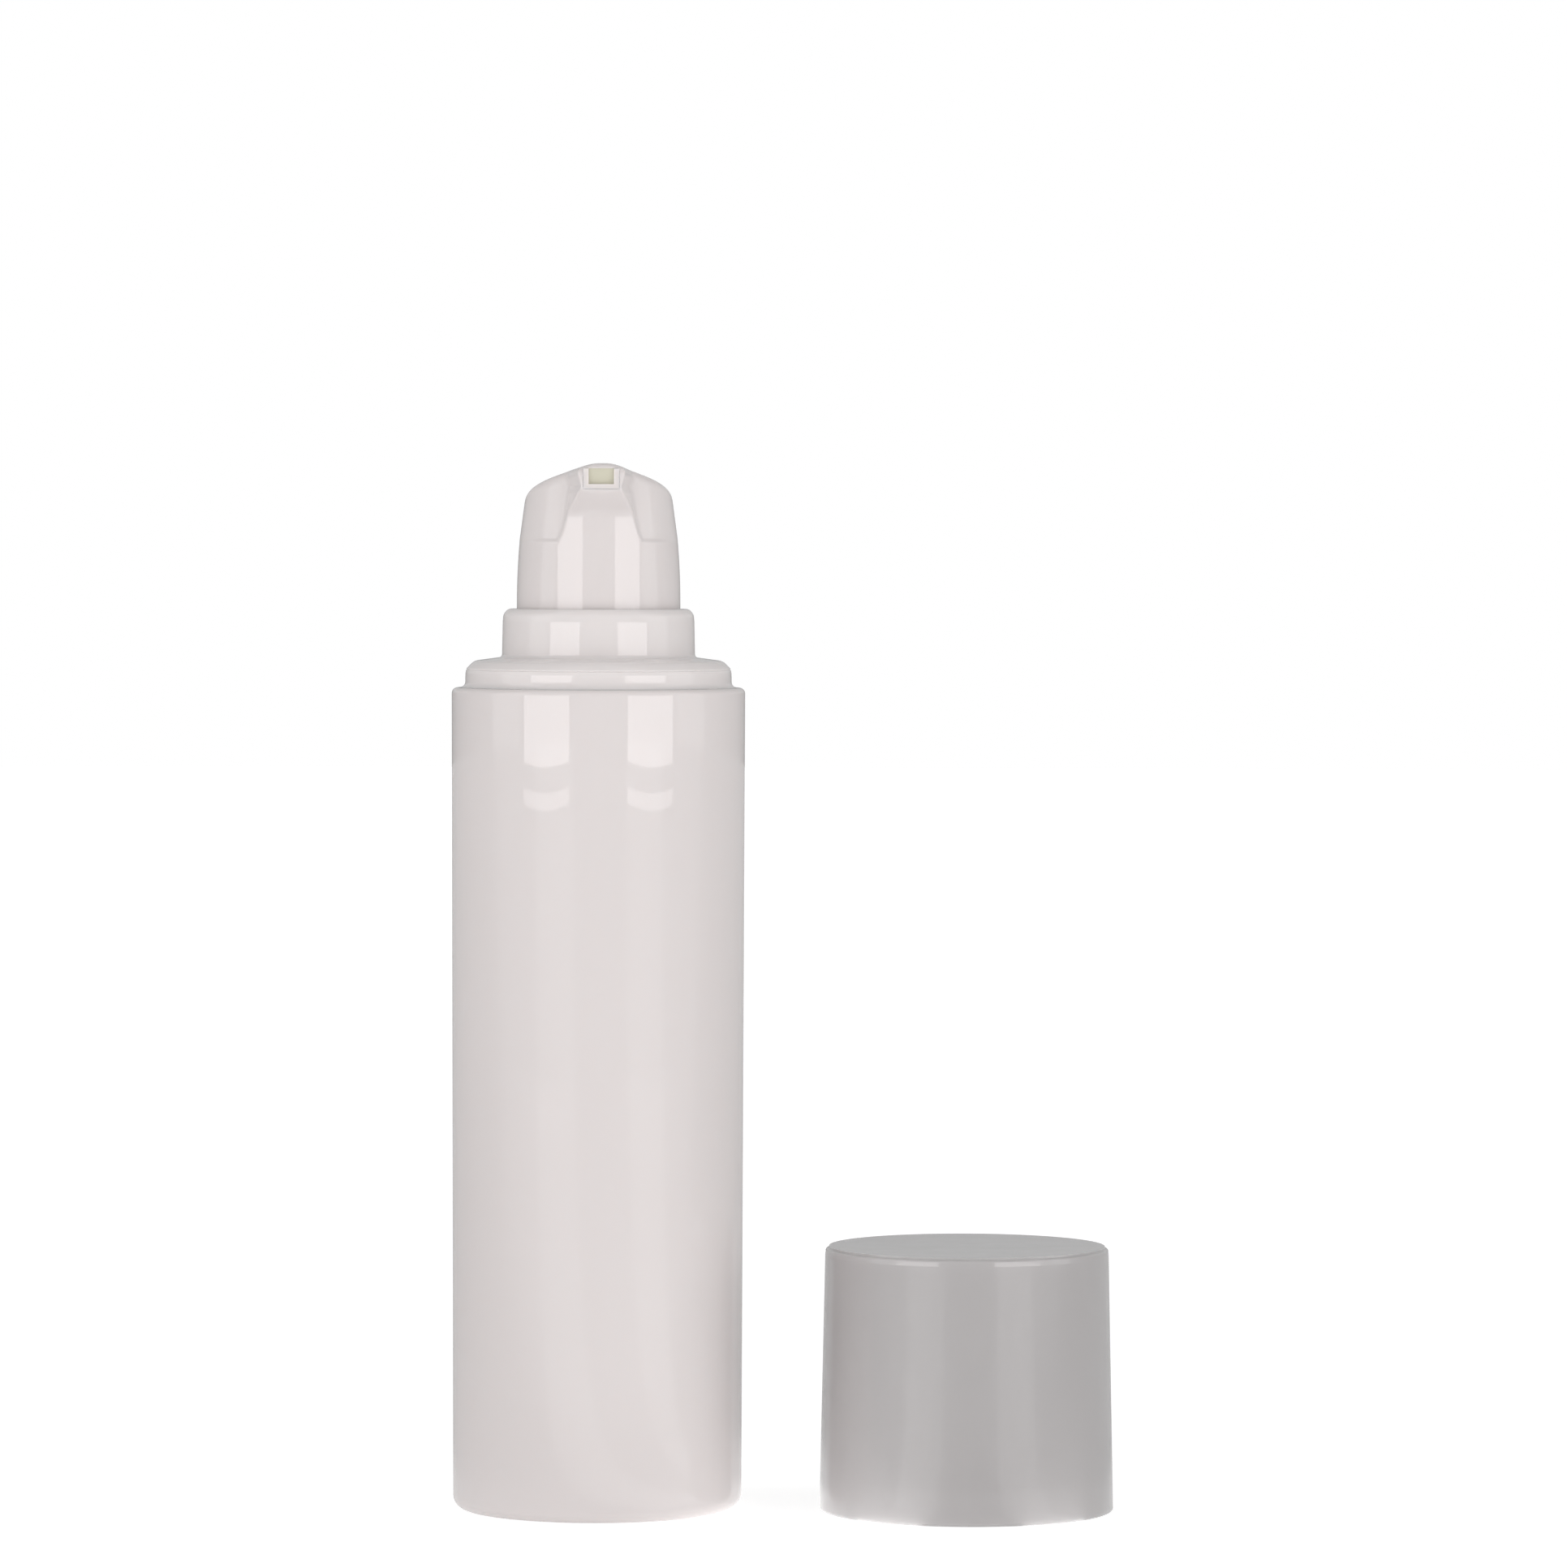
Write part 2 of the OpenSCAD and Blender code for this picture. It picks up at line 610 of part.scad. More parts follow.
module spout_insert() {
    tower_top_z = channel_top(socket_r) - tower_roof_t - seat_fit;
    back_y = channel_back_y - channel_floor_t;
    color("whitesmoke") difference() {
        union() {
            translate([0, 0, socket_z]) cylinder(r = socket_r, h = tower_top_z - socket_z);
            translate([0, 0, spring_top_z]) cylinder(r = spring_r + wire_d, h = socket_flange_t);
            drawn_across(mouth_w) channel_outline(0);
        }
        translate([0, 0, socket_z - over])
            cylinder(r = stem_r + running_fit, h = stem_top_z + stop_gap - socket_z + over);
        translate([0, 0, stem_top_z])
            cylinder(r = stem_bore_r, h = channel_top(0) - stem_top_z - tower_roof_t);
        drawn_across(channel_w) polygon([
            [mouth_y - over, channel_top(mouth_y) - mouth_h + channel_floor_t],
            [-pad_front, channel_top(-pad_front) - mouth_h + channel_floor_t],
            [-stem_bore_r, channel_top(-stem_bore_r) - mouth_h + channel_floor_t],
            [back_y, channel_top(back_y) - mouth_h + channel_floor_t],
            [back_y, ridge_z + over], [mouth_y - over, ridge_z + over]
        ]);
    }
}

module follower_piston() {
    lip_h = 1;
    waist_r = follower_lip_r - lip_relief;
    skirt_r = waist_r - follower_wall;
    well_r = follower_well_r;
    web_t = follower_web_t;
    foot_up = 3;
    lead_in = 0.3;
    top = follower_h;
    color("white") translate([0, 0, follower_z]) rotate_extrude() polygon([
        [0, 0], [well_r + web_t, 0], [well_r + web_t, top - lip_h - web_t],
        [skirt_r, top - lip_h - web_t], [skirt_r, foot_up], [follower_lip_r - lead_in, foot_up],
        [follower_lip_r, foot_up + lead_in], [follower_lip_r, foot_up + lip_h],
        [waist_r, foot_up + 2 * lip_h], [waist_r, top - 2 * lip_h], [follower_lip_r, top - lip_h],
        [follower_lip_r, top - lead_in], [follower_lip_r - lead_in, top], [skirt_r, top - lip_h],
        [well_r, top - lip_h], [well_r, web_t], [0, web_t]
    ]);
}

module overcap() {
    ledge_w = 0.12;
    ledge_gap = 0.9;
    ledge_up = cap_step_up + cap_step_w + ledge_gap;
    corner = 0.8;
    inner_top_r = cap_bore_r - cap_rib_w - cap_draft / 2;
    color("lightgrey", 0.5) translate([cap_x, cap_y, 0]) rotate_extrude() difference() {
        polygon([[0, 0], [cap_rim_r, 0], [cap_top_r, cap_h], [0, cap_h]]);
        translate([cap_top_r, cap_h]) corner_waste(cap_round);
        translate([0, -over]) polygon([
            [0, 0], [cap_mouth_r, 0], [cap_mouth_r, cap_step_up + over],
            [cap_bore_r, cap_step_up + cap_step_w + over], [cap_bore_r, ledge_up + over],
            [cap_bore_r - ledge_w, ledge_up + ledge_w + over], [cap_bore_r - ledge_w, cap_rib_up + over],
            [cap_bore_r - cap_rib_w, cap_rib_up + cap_rib_w + over],
            [inner_top_r, cap_h - cap_roof_t - corner + over],
            [inner_top_r - corner, cap_h - cap_roof_t + over],
            [0, cap_h - cap_roof_t + over]
        ]);
    }
}

bottle_body();
closure();
neck_gasket();
pump_housing();
ball_cage();
inlet_ball();
housing_cap();
return_spring();
stem();
piston_rod();
pump_piston();
actuator();
spout_insert();
follower_piston();
overcap();
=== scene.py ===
# %% [markdown]
# # An airless pump bottle with its overcap beside it
#
# The bottle stands on a white table: a tall white cup, a snap-in closure with a turret, a push button
# with a short spout, and next to it the cloudy overcap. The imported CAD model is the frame: it says where
# everything is and how it moves. This script gives it its looks. We work in metres, but the drawings of
# a small bottle are in millimetres, so every length below is written in mm and turned to metres at the
# moment a mesh is made.

import math

import bmesh
import bpy
import numpy as np
from mathutils import Matrix, Vector


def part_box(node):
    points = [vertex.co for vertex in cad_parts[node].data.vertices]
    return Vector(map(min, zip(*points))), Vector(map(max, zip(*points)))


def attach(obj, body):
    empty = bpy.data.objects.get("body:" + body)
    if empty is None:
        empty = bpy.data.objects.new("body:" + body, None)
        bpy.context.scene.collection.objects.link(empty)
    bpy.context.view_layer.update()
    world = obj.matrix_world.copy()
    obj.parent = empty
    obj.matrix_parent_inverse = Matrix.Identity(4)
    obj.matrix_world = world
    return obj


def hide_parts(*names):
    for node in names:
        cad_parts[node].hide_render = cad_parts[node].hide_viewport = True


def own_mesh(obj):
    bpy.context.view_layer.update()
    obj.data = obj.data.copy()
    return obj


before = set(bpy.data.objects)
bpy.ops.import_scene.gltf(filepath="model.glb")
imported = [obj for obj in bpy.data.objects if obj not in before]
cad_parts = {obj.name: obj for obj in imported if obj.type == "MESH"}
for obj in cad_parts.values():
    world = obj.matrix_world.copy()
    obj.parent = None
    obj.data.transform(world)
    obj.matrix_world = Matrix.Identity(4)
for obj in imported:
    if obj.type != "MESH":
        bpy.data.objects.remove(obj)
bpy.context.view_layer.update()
MM = 0.001

# %% [markdown]
# ## The sizes of the bottle
#
# A turned part is fully told by its half section, so a few radii and heights are enough. They are the
# solid model's numbers, or up to 0.1 mm smaller where the photograph asks for it. The cup holds the
# closure, the closure holds the button, and the overcap's rim is about as wide as the cup's shoulder. We
# print two of the frame's boxes beside them, to see that both agree.

# %% Name the sizes
RIM_Z = 93.85
RING_TOP_Z = 97.35
TURRET_TOP_Z = 102.85
RIDGE_Z = 119.35
BODY_TOP_R = 16.75
BODY_BASE_R = 16.5
BORE_R = 14.9
FLOOR_Z = 2.4
PUNT_R = 11.0
PUNT_DEPTH = 0.8
VENT_R = 0.8
BUTTON_R = 9.36
SKIRT_Z = 98.45
CAP_X = 42.07
CAP_Y = -3.90
CAP_H = 30.2
CAP_RIM_R = 16.8
CAP_TOP_R = 16.2

for name, radius, height in (("bottle_body", BODY_TOP_R, RIM_Z), ("overcap", CAP_RIM_R, CAP_H)):
    low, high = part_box(name)
    print(name, "in the frame:", round((high.x - low.x) / MM, 2), "by", round(high.z / MM, 2), "mm")
    print(name, "as drawn:", 2 * radius, "by", height, "mm")

# %% [markdown]
# ## The camera
#
# The photograph was taken with a long lens from about 0.9 m, at the height of the button, tilted down by
# less than two degrees. A long lens keeps the bottle's sides almost parallel. The spout is turned a few
# degrees away from the lens, so the camera stands a little to the left of the spout's axis.

# %% Place the camera
eye = Vector((-33.97, -902.6, 111.1)) * MM
TILT_DOWN = 1.79
HEADING = 3.497
ROLL = 0.13
camera_data = bpy.data.cameras.new("long_lens")
camera_data.sensor_width = 36.0
camera_data.lens = 181.6
camera_data.clip_start = 0.01
camera_data.clip_end = 50.0
camera = bpy.data.objects.new("long_lens", camera_data)
bpy.context.scene.collection.objects.link(camera)
camera.location = eye
heading = Matrix.Rotation(math.radians(-HEADING), 3, "Z")
tilt = Matrix.Rotation(math.radians(90 - TILT_DOWN), 3, "X")
roll = Matrix.Rotation(math.radians(ROLL), 3, "Z")
camera.rotation_euler = (heading @ tilt @ roll).to_euler()
bpy.context.scene.camera = camera
print("camera at", [round(v / MM, 1) for v in eye], "mm")

# %% [markdown]
# ## Colours and nodes
#
# We write colours as the eye reads them on a screen, as hex values in sRGB, and one function turns them
# into the linear light that the renderer counts in. A second small function adds one node to a tree, with
# its settings and the sockets that feed it, which keeps a material short enough to read. A third puts a
# mesh into the scene as a piece.


# %% Colour, node and piece helpers
def linear(hex_colour):
    """An sRGB colour such as "E0D9D8" as linear red, green, blue and alpha."""
    channels = [int(hex_colour[i : i + 2], 16) / 255 for i in (0, 2, 4)]
    return [c / 12.92 if c <= 0.04045 else ((c + 0.055) / 1.055) ** 2.4 for c in channels] + [1.0]


def add_node(tree, kind, settings=None, feeds=None):
    """One node of that kind. Settings go to its sockets or its properties, feeds are sockets by name."""
    node = tree.nodes.new(kind)
    for key, value in (settings or {}).items():
        if key in node.inputs:
            node.inputs[key].default_value = value
        else:
            setattr(node, key, value)
    for key, socket in (feeds or {}).items():
        tree.links.new(socket, node.inputs[key])
    return node


def per_metre(size_mm):
    """The scale of a texture whose features are that many millimetres apart."""
    return 1.0 / (size_mm * MM)


def put_in_scene(name, mesh):
    """A new piece with that mesh, linked to the scene."""
    piece = bpy.data.objects.new(name, mesh)
    bpy.context.scene.collection.objects.link(piece)
    return piece


print("white as the renderer counts it:", [round(c, 3) for c in linear("DDD7D6")])

# %% [markdown]
# ## White polypropylene, injection moulded
#
# The cup, closure and button are white-pigmented polypropylene from a polished steel mould. The melt
# shrinks unevenly as it cools, so there is a ripple some 12 mm long and a fraction of a micrometre deep,
# which bends a reflection only a little. The gloss changes by a tenth from place to place, over some 5 mm.
# The pigment is a warm, slightly pinkish white that is never perfectly mixed, so two close whites flow into
# each other over a few centimetres. A little light also goes into the plastic and comes out again a
# fraction of a millimetre away, which softens the edges. The closure and the button are thinner than the
# cup and let in a little more. Their whites are also painted a touch lighter, which is painted light for
# what their thin walls let through.


# %% Build the white plastic
RIPPLE_MM = 12.0
GLOSS_MM = 5.0


def moulded_plastic(name, colour, cloud_colour, roughness, ripple_um, ior=1.49, cloud_mm=22.0):
    """Moulded plastic with cloudy pigment, a long shallow ripple and uneven gloss."""
    material = bpy.data.materials.new(name)
    material.use_nodes = True
    tree = material.node_tree
    shader = tree.nodes["Principled BSDF"]
    shader.inputs["IOR"].default_value = ior
    place = {"Vector": add_node(tree, "ShaderNodeTexCoord").outputs["Object"]}
    clouds = add_node(tree, "ShaderNodeTexNoise", {"Scale": per_metre(cloud_mm), "Detail": 3.0}, place)
    pigment = add_node(tree, "ShaderNodeMix", {"data_type": "RGBA"})
    pigment.inputs[6].default_value = linear(colour)
    pigment.inputs[7].default_value = linear(cloud_colour)
    tree.links.new(clouds.outputs["Fac"], pigment.inputs[0])
    tree.links.new(pigment.outputs[2], shader.inputs["Base Color"])
    smears = add_node(tree, "ShaderNodeTexNoise", {"Scale": per_metre(GLOSS_MM), "Detail": 4.0}, place)
    gloss = add_node(
        tree,
        "ShaderNodeMapRange",
        {"From Min": 0.3, "From Max": 0.7, "To Min": roughness * 0.9, "To Max": roughness * 1.1},
        {"Value": smears.outputs["Fac"]},
    )
    tree.links.new(gloss.outputs["Result"], shader.inputs["Roughness"])
    ripple = add_node(tree, "ShaderNodeTexNoise", {"Scale": per_metre(RIPPLE_MM), "Detail": 0.0}, place)
    depth = {"Distance": ripple_um * 1e-6}
    bump = add_node(tree, "ShaderNodeBump", depth, {"Height": ripple.outputs["Fac"]})
    tree.links.new(bump.outputs["Normal"], shader.inputs["Normal"])
    return material, shader


def let_light_in(shader, weight, reach, reach_mm):
    """Light that wanders in the plastic: how much does, and how far its red, green and blue get."""
    shader.inputs["Subsurface Weight"].default_value = weight
    shader.inputs["Subsurface Radius"].default_value = reach
    shader.inputs["Subsurface Scale"].default_value = reach_mm * MM


white_pp, white_shader = moulded_plastic("moulded_white_polypropylene", "DDD7D6", "DAD4D3", 0.012, 0.2)
let_light_in(white_shader, 0.5, (1.0, 0.9, 0.85), 0.3)
# The closure's and the button's whites are painted lighter than the cup's: painted light for the light that
# their thin walls let through.
closure_pp, closure_shader = moulded_plastic(
    "closure_white_polypropylene_painted_lighter", "E2DDDC", "DFDAD9", 0.012, 0.2
)
let_light_in(closure_shader, 0.6, (1.0, 0.95, 0.9), 0.5)
thin_white_pp, thin_shader = moulded_plastic(
    "thin_walled_white_polypropylene_painted_lighter", "DED8D7", "DBD5D4", 0.012, 0.2
)
let_light_in(thin_shader, 0.6, (1.0, 0.95, 0.9), 0.4)
print("white plastics:", white_pp.name, closure_pp.name, thin_white_pp.name)

# %% [markdown]
# ## Natural polypropylene for the overcap
#
# The overcap has no pigment. Natural polypropylene is cloudy, because its crystals scatter light. Most of
# what goes in wanders some millimetres through the wall before it comes out, and about a quarter goes
# on through it, blurred. So the cap reads as a soft grey, darker than the white parts although it has
# no dark pigment. Its skin comes from a polished mould and is glossy, which a thin clear coat stands
# for: it shows the lamps as upright lighter zones and the edges as lighter lines.

# %% Build the cloudy plastic
cloudy_pp, cloudy_shader = moulded_plastic(
    "cloudy_natural_polypropylene", "C4C1C1", "C1BEBE", 0.37, 0.2, cloud_mm=30.0
)
let_light_in(cloudy_shader, 1.0, (1.0, 1.0, 1.0), 2.5)
cloudy_shader.inputs["Transmission Weight"].default_value = 0.25
cloudy_shader.inputs["Specular IOR Level"].default_value = 0.4
cloudy_shader.inputs["Coat Weight"].default_value = 1.0
cloudy_shader.inputs["Coat Roughness"].default_value = 0.02
print("cloudy plastic:", cloudy_pp.name)

# %% [markdown]
# ## The other plastics and metals
#
# The spout insert is a slightly warmer polypropylene, and its little frame lets light through from all
# sides. The wall at the end of the mouth is no plastic of its own. Its warm grey is painted light and
# shade: the dim channel, with the light that reaches its roof through the button. Inside the bottle the
# pump is natural polypropylene too, the two pistons are softer polyethylene with a satin face, and the
# gasket is a pale elastomer. The valve ball is polished stainless steel, and the return spring is drawn
# wire, whose fine draw lines run along it. Nobody sees these in the photograph, but a shared part may be
# opened up.

# %% Build the other plastics
ivory_pp, ivory_shader = moulded_plastic("moulded_ivory_polypropylene", "E2DCDA", "DFD9D7", 0.06, 0.3)
let_light_in(ivory_shader, 1.0, (1.0, 0.95, 0.85), 0.5)
mouth_painted_light_and_shade, _ = moulded_plastic("painted_warm_light_and_shade_in_the_mouth", "CFCCBC", "CBC8B4", 0.3, 0.3)
pump_pp, pump_shader = moulded_plastic("natural_pump_polypropylene", "DAD8CE", "D3D0C6", 0.35, 0.5)
pump_shader.inputs["Transmission Weight"].default_value = 0.2
satin_pe, _ = moulded_plastic("satin_polyethylene", "E3E3E0", "DCDCD8", 0.45, 4.0, ior=1.51)
gasket_tpe, _ = moulded_plastic("pale_gasket_elastomer", "CFCFCB", "C6C6C2", 0.6, 6.0, ior=1.5)
print("plastics:", ivory_pp.name, mouth_painted_light_and_shade.name, pump_pp.name, satin_pe.name, gasket_tpe.name)


# %% Build the steels
def steel(name, colour, roughness, grain_mm, squeeze):
    """Bare steel with a fine grain, squeezed along Z by that factor, so it lies along a level wire."""
    material = bpy.data.materials.new(name)
    material.use_nodes = True
    tree = material.node_tree
    shader = tree.nodes["Principled BSDF"]
    shader.inputs["Base Color"].default_value = linear(colour)
    shader.inputs["Metallic"].default_value = 1.0
    place = add_node(tree, "ShaderNodeTexCoord").outputs["Object"]
    grain_place = add_node(
        tree, "ShaderNodeMapping", {"Scale": (1.0, 1.0, squeeze)}, {"Vector": place}
    ).outputs["Vector"]
    grain = add_node(
        tree, "ShaderNodeTexNoise", {"Scale": per_metre(grain_mm), "Detail": 2.0}, {"Vector": grain_place}
    )
    gloss = add_node(
        tree,
        "ShaderNodeMapRange",
        {"To Min": roughness * 0.6, "To Max": roughness * 1.4},
        {"Value": grain.outputs["Fac"]},
    )
    tree.links.new(gloss.outputs["Result"], shader.inputs["Roughness"])
    bump = add_node(tree, "ShaderNodeBump", {"Distance": 0.4e-6}, {"Height": grain.outputs["Fac"]})
    tree.links.new(bump.outputs["Normal"], shader.inputs["Normal"])
    return material


ball_steel = steel("polished_stainless_steel", "D4D4D6", 0.08, 0.4, 1.0)
wire_steel = steel("drawn_spring_steel", "B8B8BB", 0.28, 0.15, 6.0)
print("steels:", ball_steel.name, wire_steel.name)

# %% [markdown]
# Every node of the solid model gets its finish, also the six that finer pieces stand for below.

# %% Dress the CAD nodes
finishes = {
    "neck_gasket": gasket_tpe,
    "pump_housing": pump_pp,
    "ball_cage": pump_pp,
    "inlet_ball": ball_steel,
    "housing_cap": pump_pp,
    "return_spring": wire_steel,
    "stem": pump_pp,
    "piston_rod": pump_pp,
    "pump_piston": satin_pe,
    "follower_piston": satin_pe,
    "bottle_body": white_pp,
    "closure": closure_pp,
    "actuator": thin_white_pp,
    "spout_insert": ivory_pp,
    "overcap": cloudy_pp,
}
for name, finish in finishes.items():
    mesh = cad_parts[name].data
    mesh.materials.clear()
    mesh.materials.append(finish)
print(len(finishes), "CAD nodes dressed")

# %% [markdown]
# ## Turning a part from its half section
#
# The cup, the closure and the cap are bodies of revolution. Blender's Screw modifier does what a lathe or
# a round mould does: it turns a half section about the Z axis. The section is a list of corners in mm, each
# with the radius of its rounding. A moulded edge is never sharp, and it is this small rounding that catches
# the light. The Weighted Normal modifier keeps the long walls perfectly straight in a reflection, and
# leaves the bend of the shading to the roundings.


# %% Half sections with rounded corners
def rounded_section(corners, steps=6):
    """Points of a closed half section. A corner is (radius, height, rounding), all in mm."""
    spots = [Vector(corner[:2]) for corner in corners]
    count = len(spots)
    halves = []
    reaches = []
    for i, corner in enumerate(corners):
        half = (spots[i - 1] - spots[i]).angle(spots[(i + 1) % count] - spots[i]) / 2
        halves.append(half)
        reaches.append(corner[2] / math.tan(half) if half < math.radians(89.5) else 0.0)
    for i in range(count):
        j = (i + 1) % count
        wanted = reaches[i] + reaches[j]
        length = (spots[j] - spots[i]).length
        if wanted > 0.98 * length:
            reaches[i] *= 0.98 * length / wanted
            reaches[j] *= 0.98 * length / wanted
    points = []
    for i in range(count):
        if reaches[i] <= 1e-4:
            points.append(spots[i])
            continue
        before = (spots[i - 1] - spots[i]).normalized()
        after = (spots[(i + 1) % count] - spots[i]).normalized()
        middle = spots[i] + (before + after).normalized() * (reaches[i] / math.cos(halves[i]))
        first = spots[i] + before * reaches[i] - middle
        last = spots[i] + after * reaches[i] - middle
        turn = first.angle(last)
        for k in range(steps + 1):
            share = k / steps
            arm = (first * math.sin((1 - share) * turn) + last * math.sin(share * turn)) / math.sin(turn)
            points.append(middle + arm)
    return points


def turned_piece(name, corners, finish, centre=(0.0, 0.0), around=192):
    """A closed ring or cup that is turned about its own axis, in metres."""
    points = rounded_section(corners)
    mesh = bpy.data.meshes.new(name)
    vertices = [(p.x * MM, 0.0, p.y * MM) for p in points]
    edges = [(i, (i + 1) % len(points)) for i in range(len(points))]
    mesh.from_pydata(vertices, edges, [])
    piece = put_in_scene(name, mesh)
    piece.location = (centre[0] * MM, centre[1] * MM, 0.0)
    lathe = piece.modifiers.new("lathe", "SCREW")
    lathe.axis = "Z"
    lathe.angle = math.tau
    lathe.steps = around
    lathe.render_steps = around
    lathe.use_merge_vertices = True
    lathe.merge_threshold = 1e-7
    lathe.use_normal_calculate = True
    lathe.use_smooth_shade = True
    weights = piece.modifiers.new("straight_walls", "WEIGHTED_NORMAL")
    weights.weight = 100
    mesh.materials.append(finish)
    print(name, "has", len(points), "points in its section and", around, "steps round")
    return piece


# %% [markdown]
# ## The cup
#
# The body is one moulding, like a drinking glass: a straight bore inside, and outside a wall that narrows
# by a quarter of a millimetre towards the foot, so that it leaves the mould. The foot has a rounding of
# 1.5 mm and a shallow recess under it, and a vent hole in the middle lets air in as the follower
# piston rises. A groove near the rim takes the closure's snap bead.

# %% Turn the cup
cup = turned_piece(
    "cup",
    [
        (VENT_R, PUNT_DEPTH, 0.2),
        (PUNT_R, PUNT_DEPTH, 0.4),
        (PUNT_R, 0.0, 0.25),
        (BODY_BASE_R, 0.0, 1.5),
        (BODY_TOP_R, RIM_Z, 0.65),
        (15.2, RIM_Z, 0.3),
        (BORE_R, RIM_Z, 0.15),
        (BORE_R, RIM_Z - 4.6, 0.0),
        (BORE_R + 0.16, RIM_Z - 5.0, 0.2),
        (BORE_R, RIM_Z - 5.4, 0.0),
        (BORE_R, FLOOR_Z, 0.5),
        (VENT_R, FLOOR_Z, 0.2),
    ],
    white_pp,
)
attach(cup, "bottle")
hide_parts("bottle_body")

# %% [markdown]
# ## The closure
#
# The closure snaps into the cup. From the outside we see its rounded ring with the bead that grips the
# overcap, and the turret that guides the button. A fine witness line runs round the ring where two halves
# of the mould meet, just above the bead, and a small cove leads from the ring to the cup's rim. Below
# the rim a plug skirt goes into the cup, and inside it a short clip skirt holds the pump.

# %% Turn the closure
RING_R = 15.1
BEAD_R = 15.3
TURRET_BORE_R = 9.74
TURRET_FOOT_R = 11.02
TURRET_R = 10.93
PLUG_R = 14.88
WELL_Z = 92.2
closure = turned_piece(
    "closure_moulding",
    [
        (TURRET_BORE_R, TURRET_TOP_Z, 0.1),
        (TURRET_R - 0.6, TURRET_TOP_Z, 0.8),
        (TURRET_R - 0.07, TURRET_TOP_Z - 0.65, 0.9),
        (TURRET_R, TURRET_TOP_Z - 1.4, 1.6),
        (TURRET_FOOT_R, RING_TOP_Z - 0.02, 0.4),
        (14.2, RING_TOP_Z - 0.45, 1.3),
        (RING_R, 96.0, 0.3),
        (RING_R - 0.08, 95.9, 0.02),
        (RING_R + 0.02, 95.82, 0.05),
        (BEAD_R - 0.12, 95.5, 0.3),
        (RING_R + 0.1, 94.95, 0.6),
        (RING_R + 0.1, RIM_Z + 0.06, 0.75),
        (RING_R + 1.08, RIM_Z + 0.01, 0.01),
        (PLUG_R, RIM_Z + 0.01, 0.03),
        (PLUG_R, RIM_Z - 4.6, 0.0),
        (PLUG_R + 0.14, RIM_Z - 5.0, 0.2),
        (PLUG_R, RIM_Z - 5.4, 0.0),
        (PLUG_R, RIM_Z - 8.9, 0.3),
        (PLUG_R - 1.3, RIM_Z - 8.9, 0.3),
        (PLUG_R - 1.3, RING_TOP_Z - 1.5, 0.5),
        (TURRET_R, RING_TOP_Z - 1.5, 0.3),
        (TURRET_R, 91.0, 0.2),
        (9.52, 91.0, 0.1),
        (9.52, 88.58, 0.2),
        (8.02, 88.58, 0.15),
        (8.02, 89.38, 0.1),
        (8.42, 89.38, 0.0),
        (8.42, 91.0, 0.0),
        (6.5, 91.0, 0.1),
        (6.5, WELL_Z, 0.2),
        (TURRET_BORE_R, WELL_Z, 0.3),
    ],
    closure_pp,
)
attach(closure, "bottle")
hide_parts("closure")

# %% [markdown]
# ## The button's skin
#
# The button is the one shape that isn't turned. Its skirt is round, its sides lean in above a soft crease,
# its roof has a ridge with two gentle slopes, a finger pad is hollowed across it, and a tongue rises
# upright at the front and sweeps out into the beak. Moulded shapes like this flow into each other, so we
# describe each one as a distance field, a function that is negative inside, and join them with a smooth
# minimum. Then we shoot a ray through every point of a grid and find where it leaves the solid. The
# grid's lines follow the shape, so reflections stay clean, which a voxel remesh wouldn't give.

# %% Name the button's sizes
CREASE_Z = 110.6
SKIRT_DRAFT = 0.006
SIDE_DRAW = 0.27
SIDE_DRAW_Z = 104.0
UPPER_SIDE_R = 9.03
UPPER_LEAN = 0.134
FLARE_R = 11.4
FLARE_Z = 116.25
FLARE_LEAN = 0.85
FLANK_LEAN = 0.36
RIDGE_HALF = 1.1
ROOF_SLOPE = math.tan(math.radians(18.5))
PAD_Y = 6.0
PAD_R = 21.5
PAD_LOW_Z = 115.35
BEAK_FACE_Y = -11.3
SPOUT_SHIFT = 0.15
TONGUE_OUTLINE = (
    [110.3, 110.7, 111.3, 112.0, 113.95, 116.0, 116.4, 116.8],
    [4.8, 4.72, 4.4, 4.15, 3.6, 2.6, 2.32, 2.13],
)
print("the roof falls", round(math.degrees(math.atan(ROOF_SLOPE)), 1), "degrees to each side")


# %% The button as a distance field
def smooth_min(a, b, width):
    """The smaller of a and b, rounded where they cross, over that width in mm."""
    share = np.clip(0.5 + 0.5 * (b - a) / width, 0.0, 1.0)
    return b + (a - b) * share - width * share * (1.0 - share)


def smooth_max(a, b, width):
    """The larger of a and b, rounded where they cross, over that width in mm."""
    return -smooth_min(-a, -b, width)


def side_radius(x, y, z):
    """The leaning sides: upright in front, drawn in a little at the side, and recessed above the crease."""
    facing = np.clip((-y / (np.hypot(x, y) + 1e-9) - 0.3) / 0.54, 0.0, 1.0)
    frontness = facing * facing * (3.0 - 2.0 * facing)
    draw = SIDE_DRAW * np.clip((z - SIDE_DRAW_Z) / (CREASE_Z - SIDE_DRAW_Z), 0.0, None) ** 2
    below = BUTTON_R - SKIRT_DRAFT * (z - SKIRT_Z) - draw * (1.0 - frontness)
    above = UPPER_SIDE_R - UPPER_LEAN * (z - CREASE_Z)
    ledge = np.clip((z - CREASE_Z) / 0.5 + 0.5, 0.0, 1.0)
    return below + (above - below) * ledge * ledge * (3.0 - 2.0 * ledge)


def front_radius(z):
    """The tongue: upright, then flaring out to carry the mouth."""
    flare = FLARE_R + FLARE_LEAN * (z - FLARE_Z)
    return smooth_max(BUTTON_R - SKIRT_DRAFT * (z - SKIRT_Z), flare, 0.45)


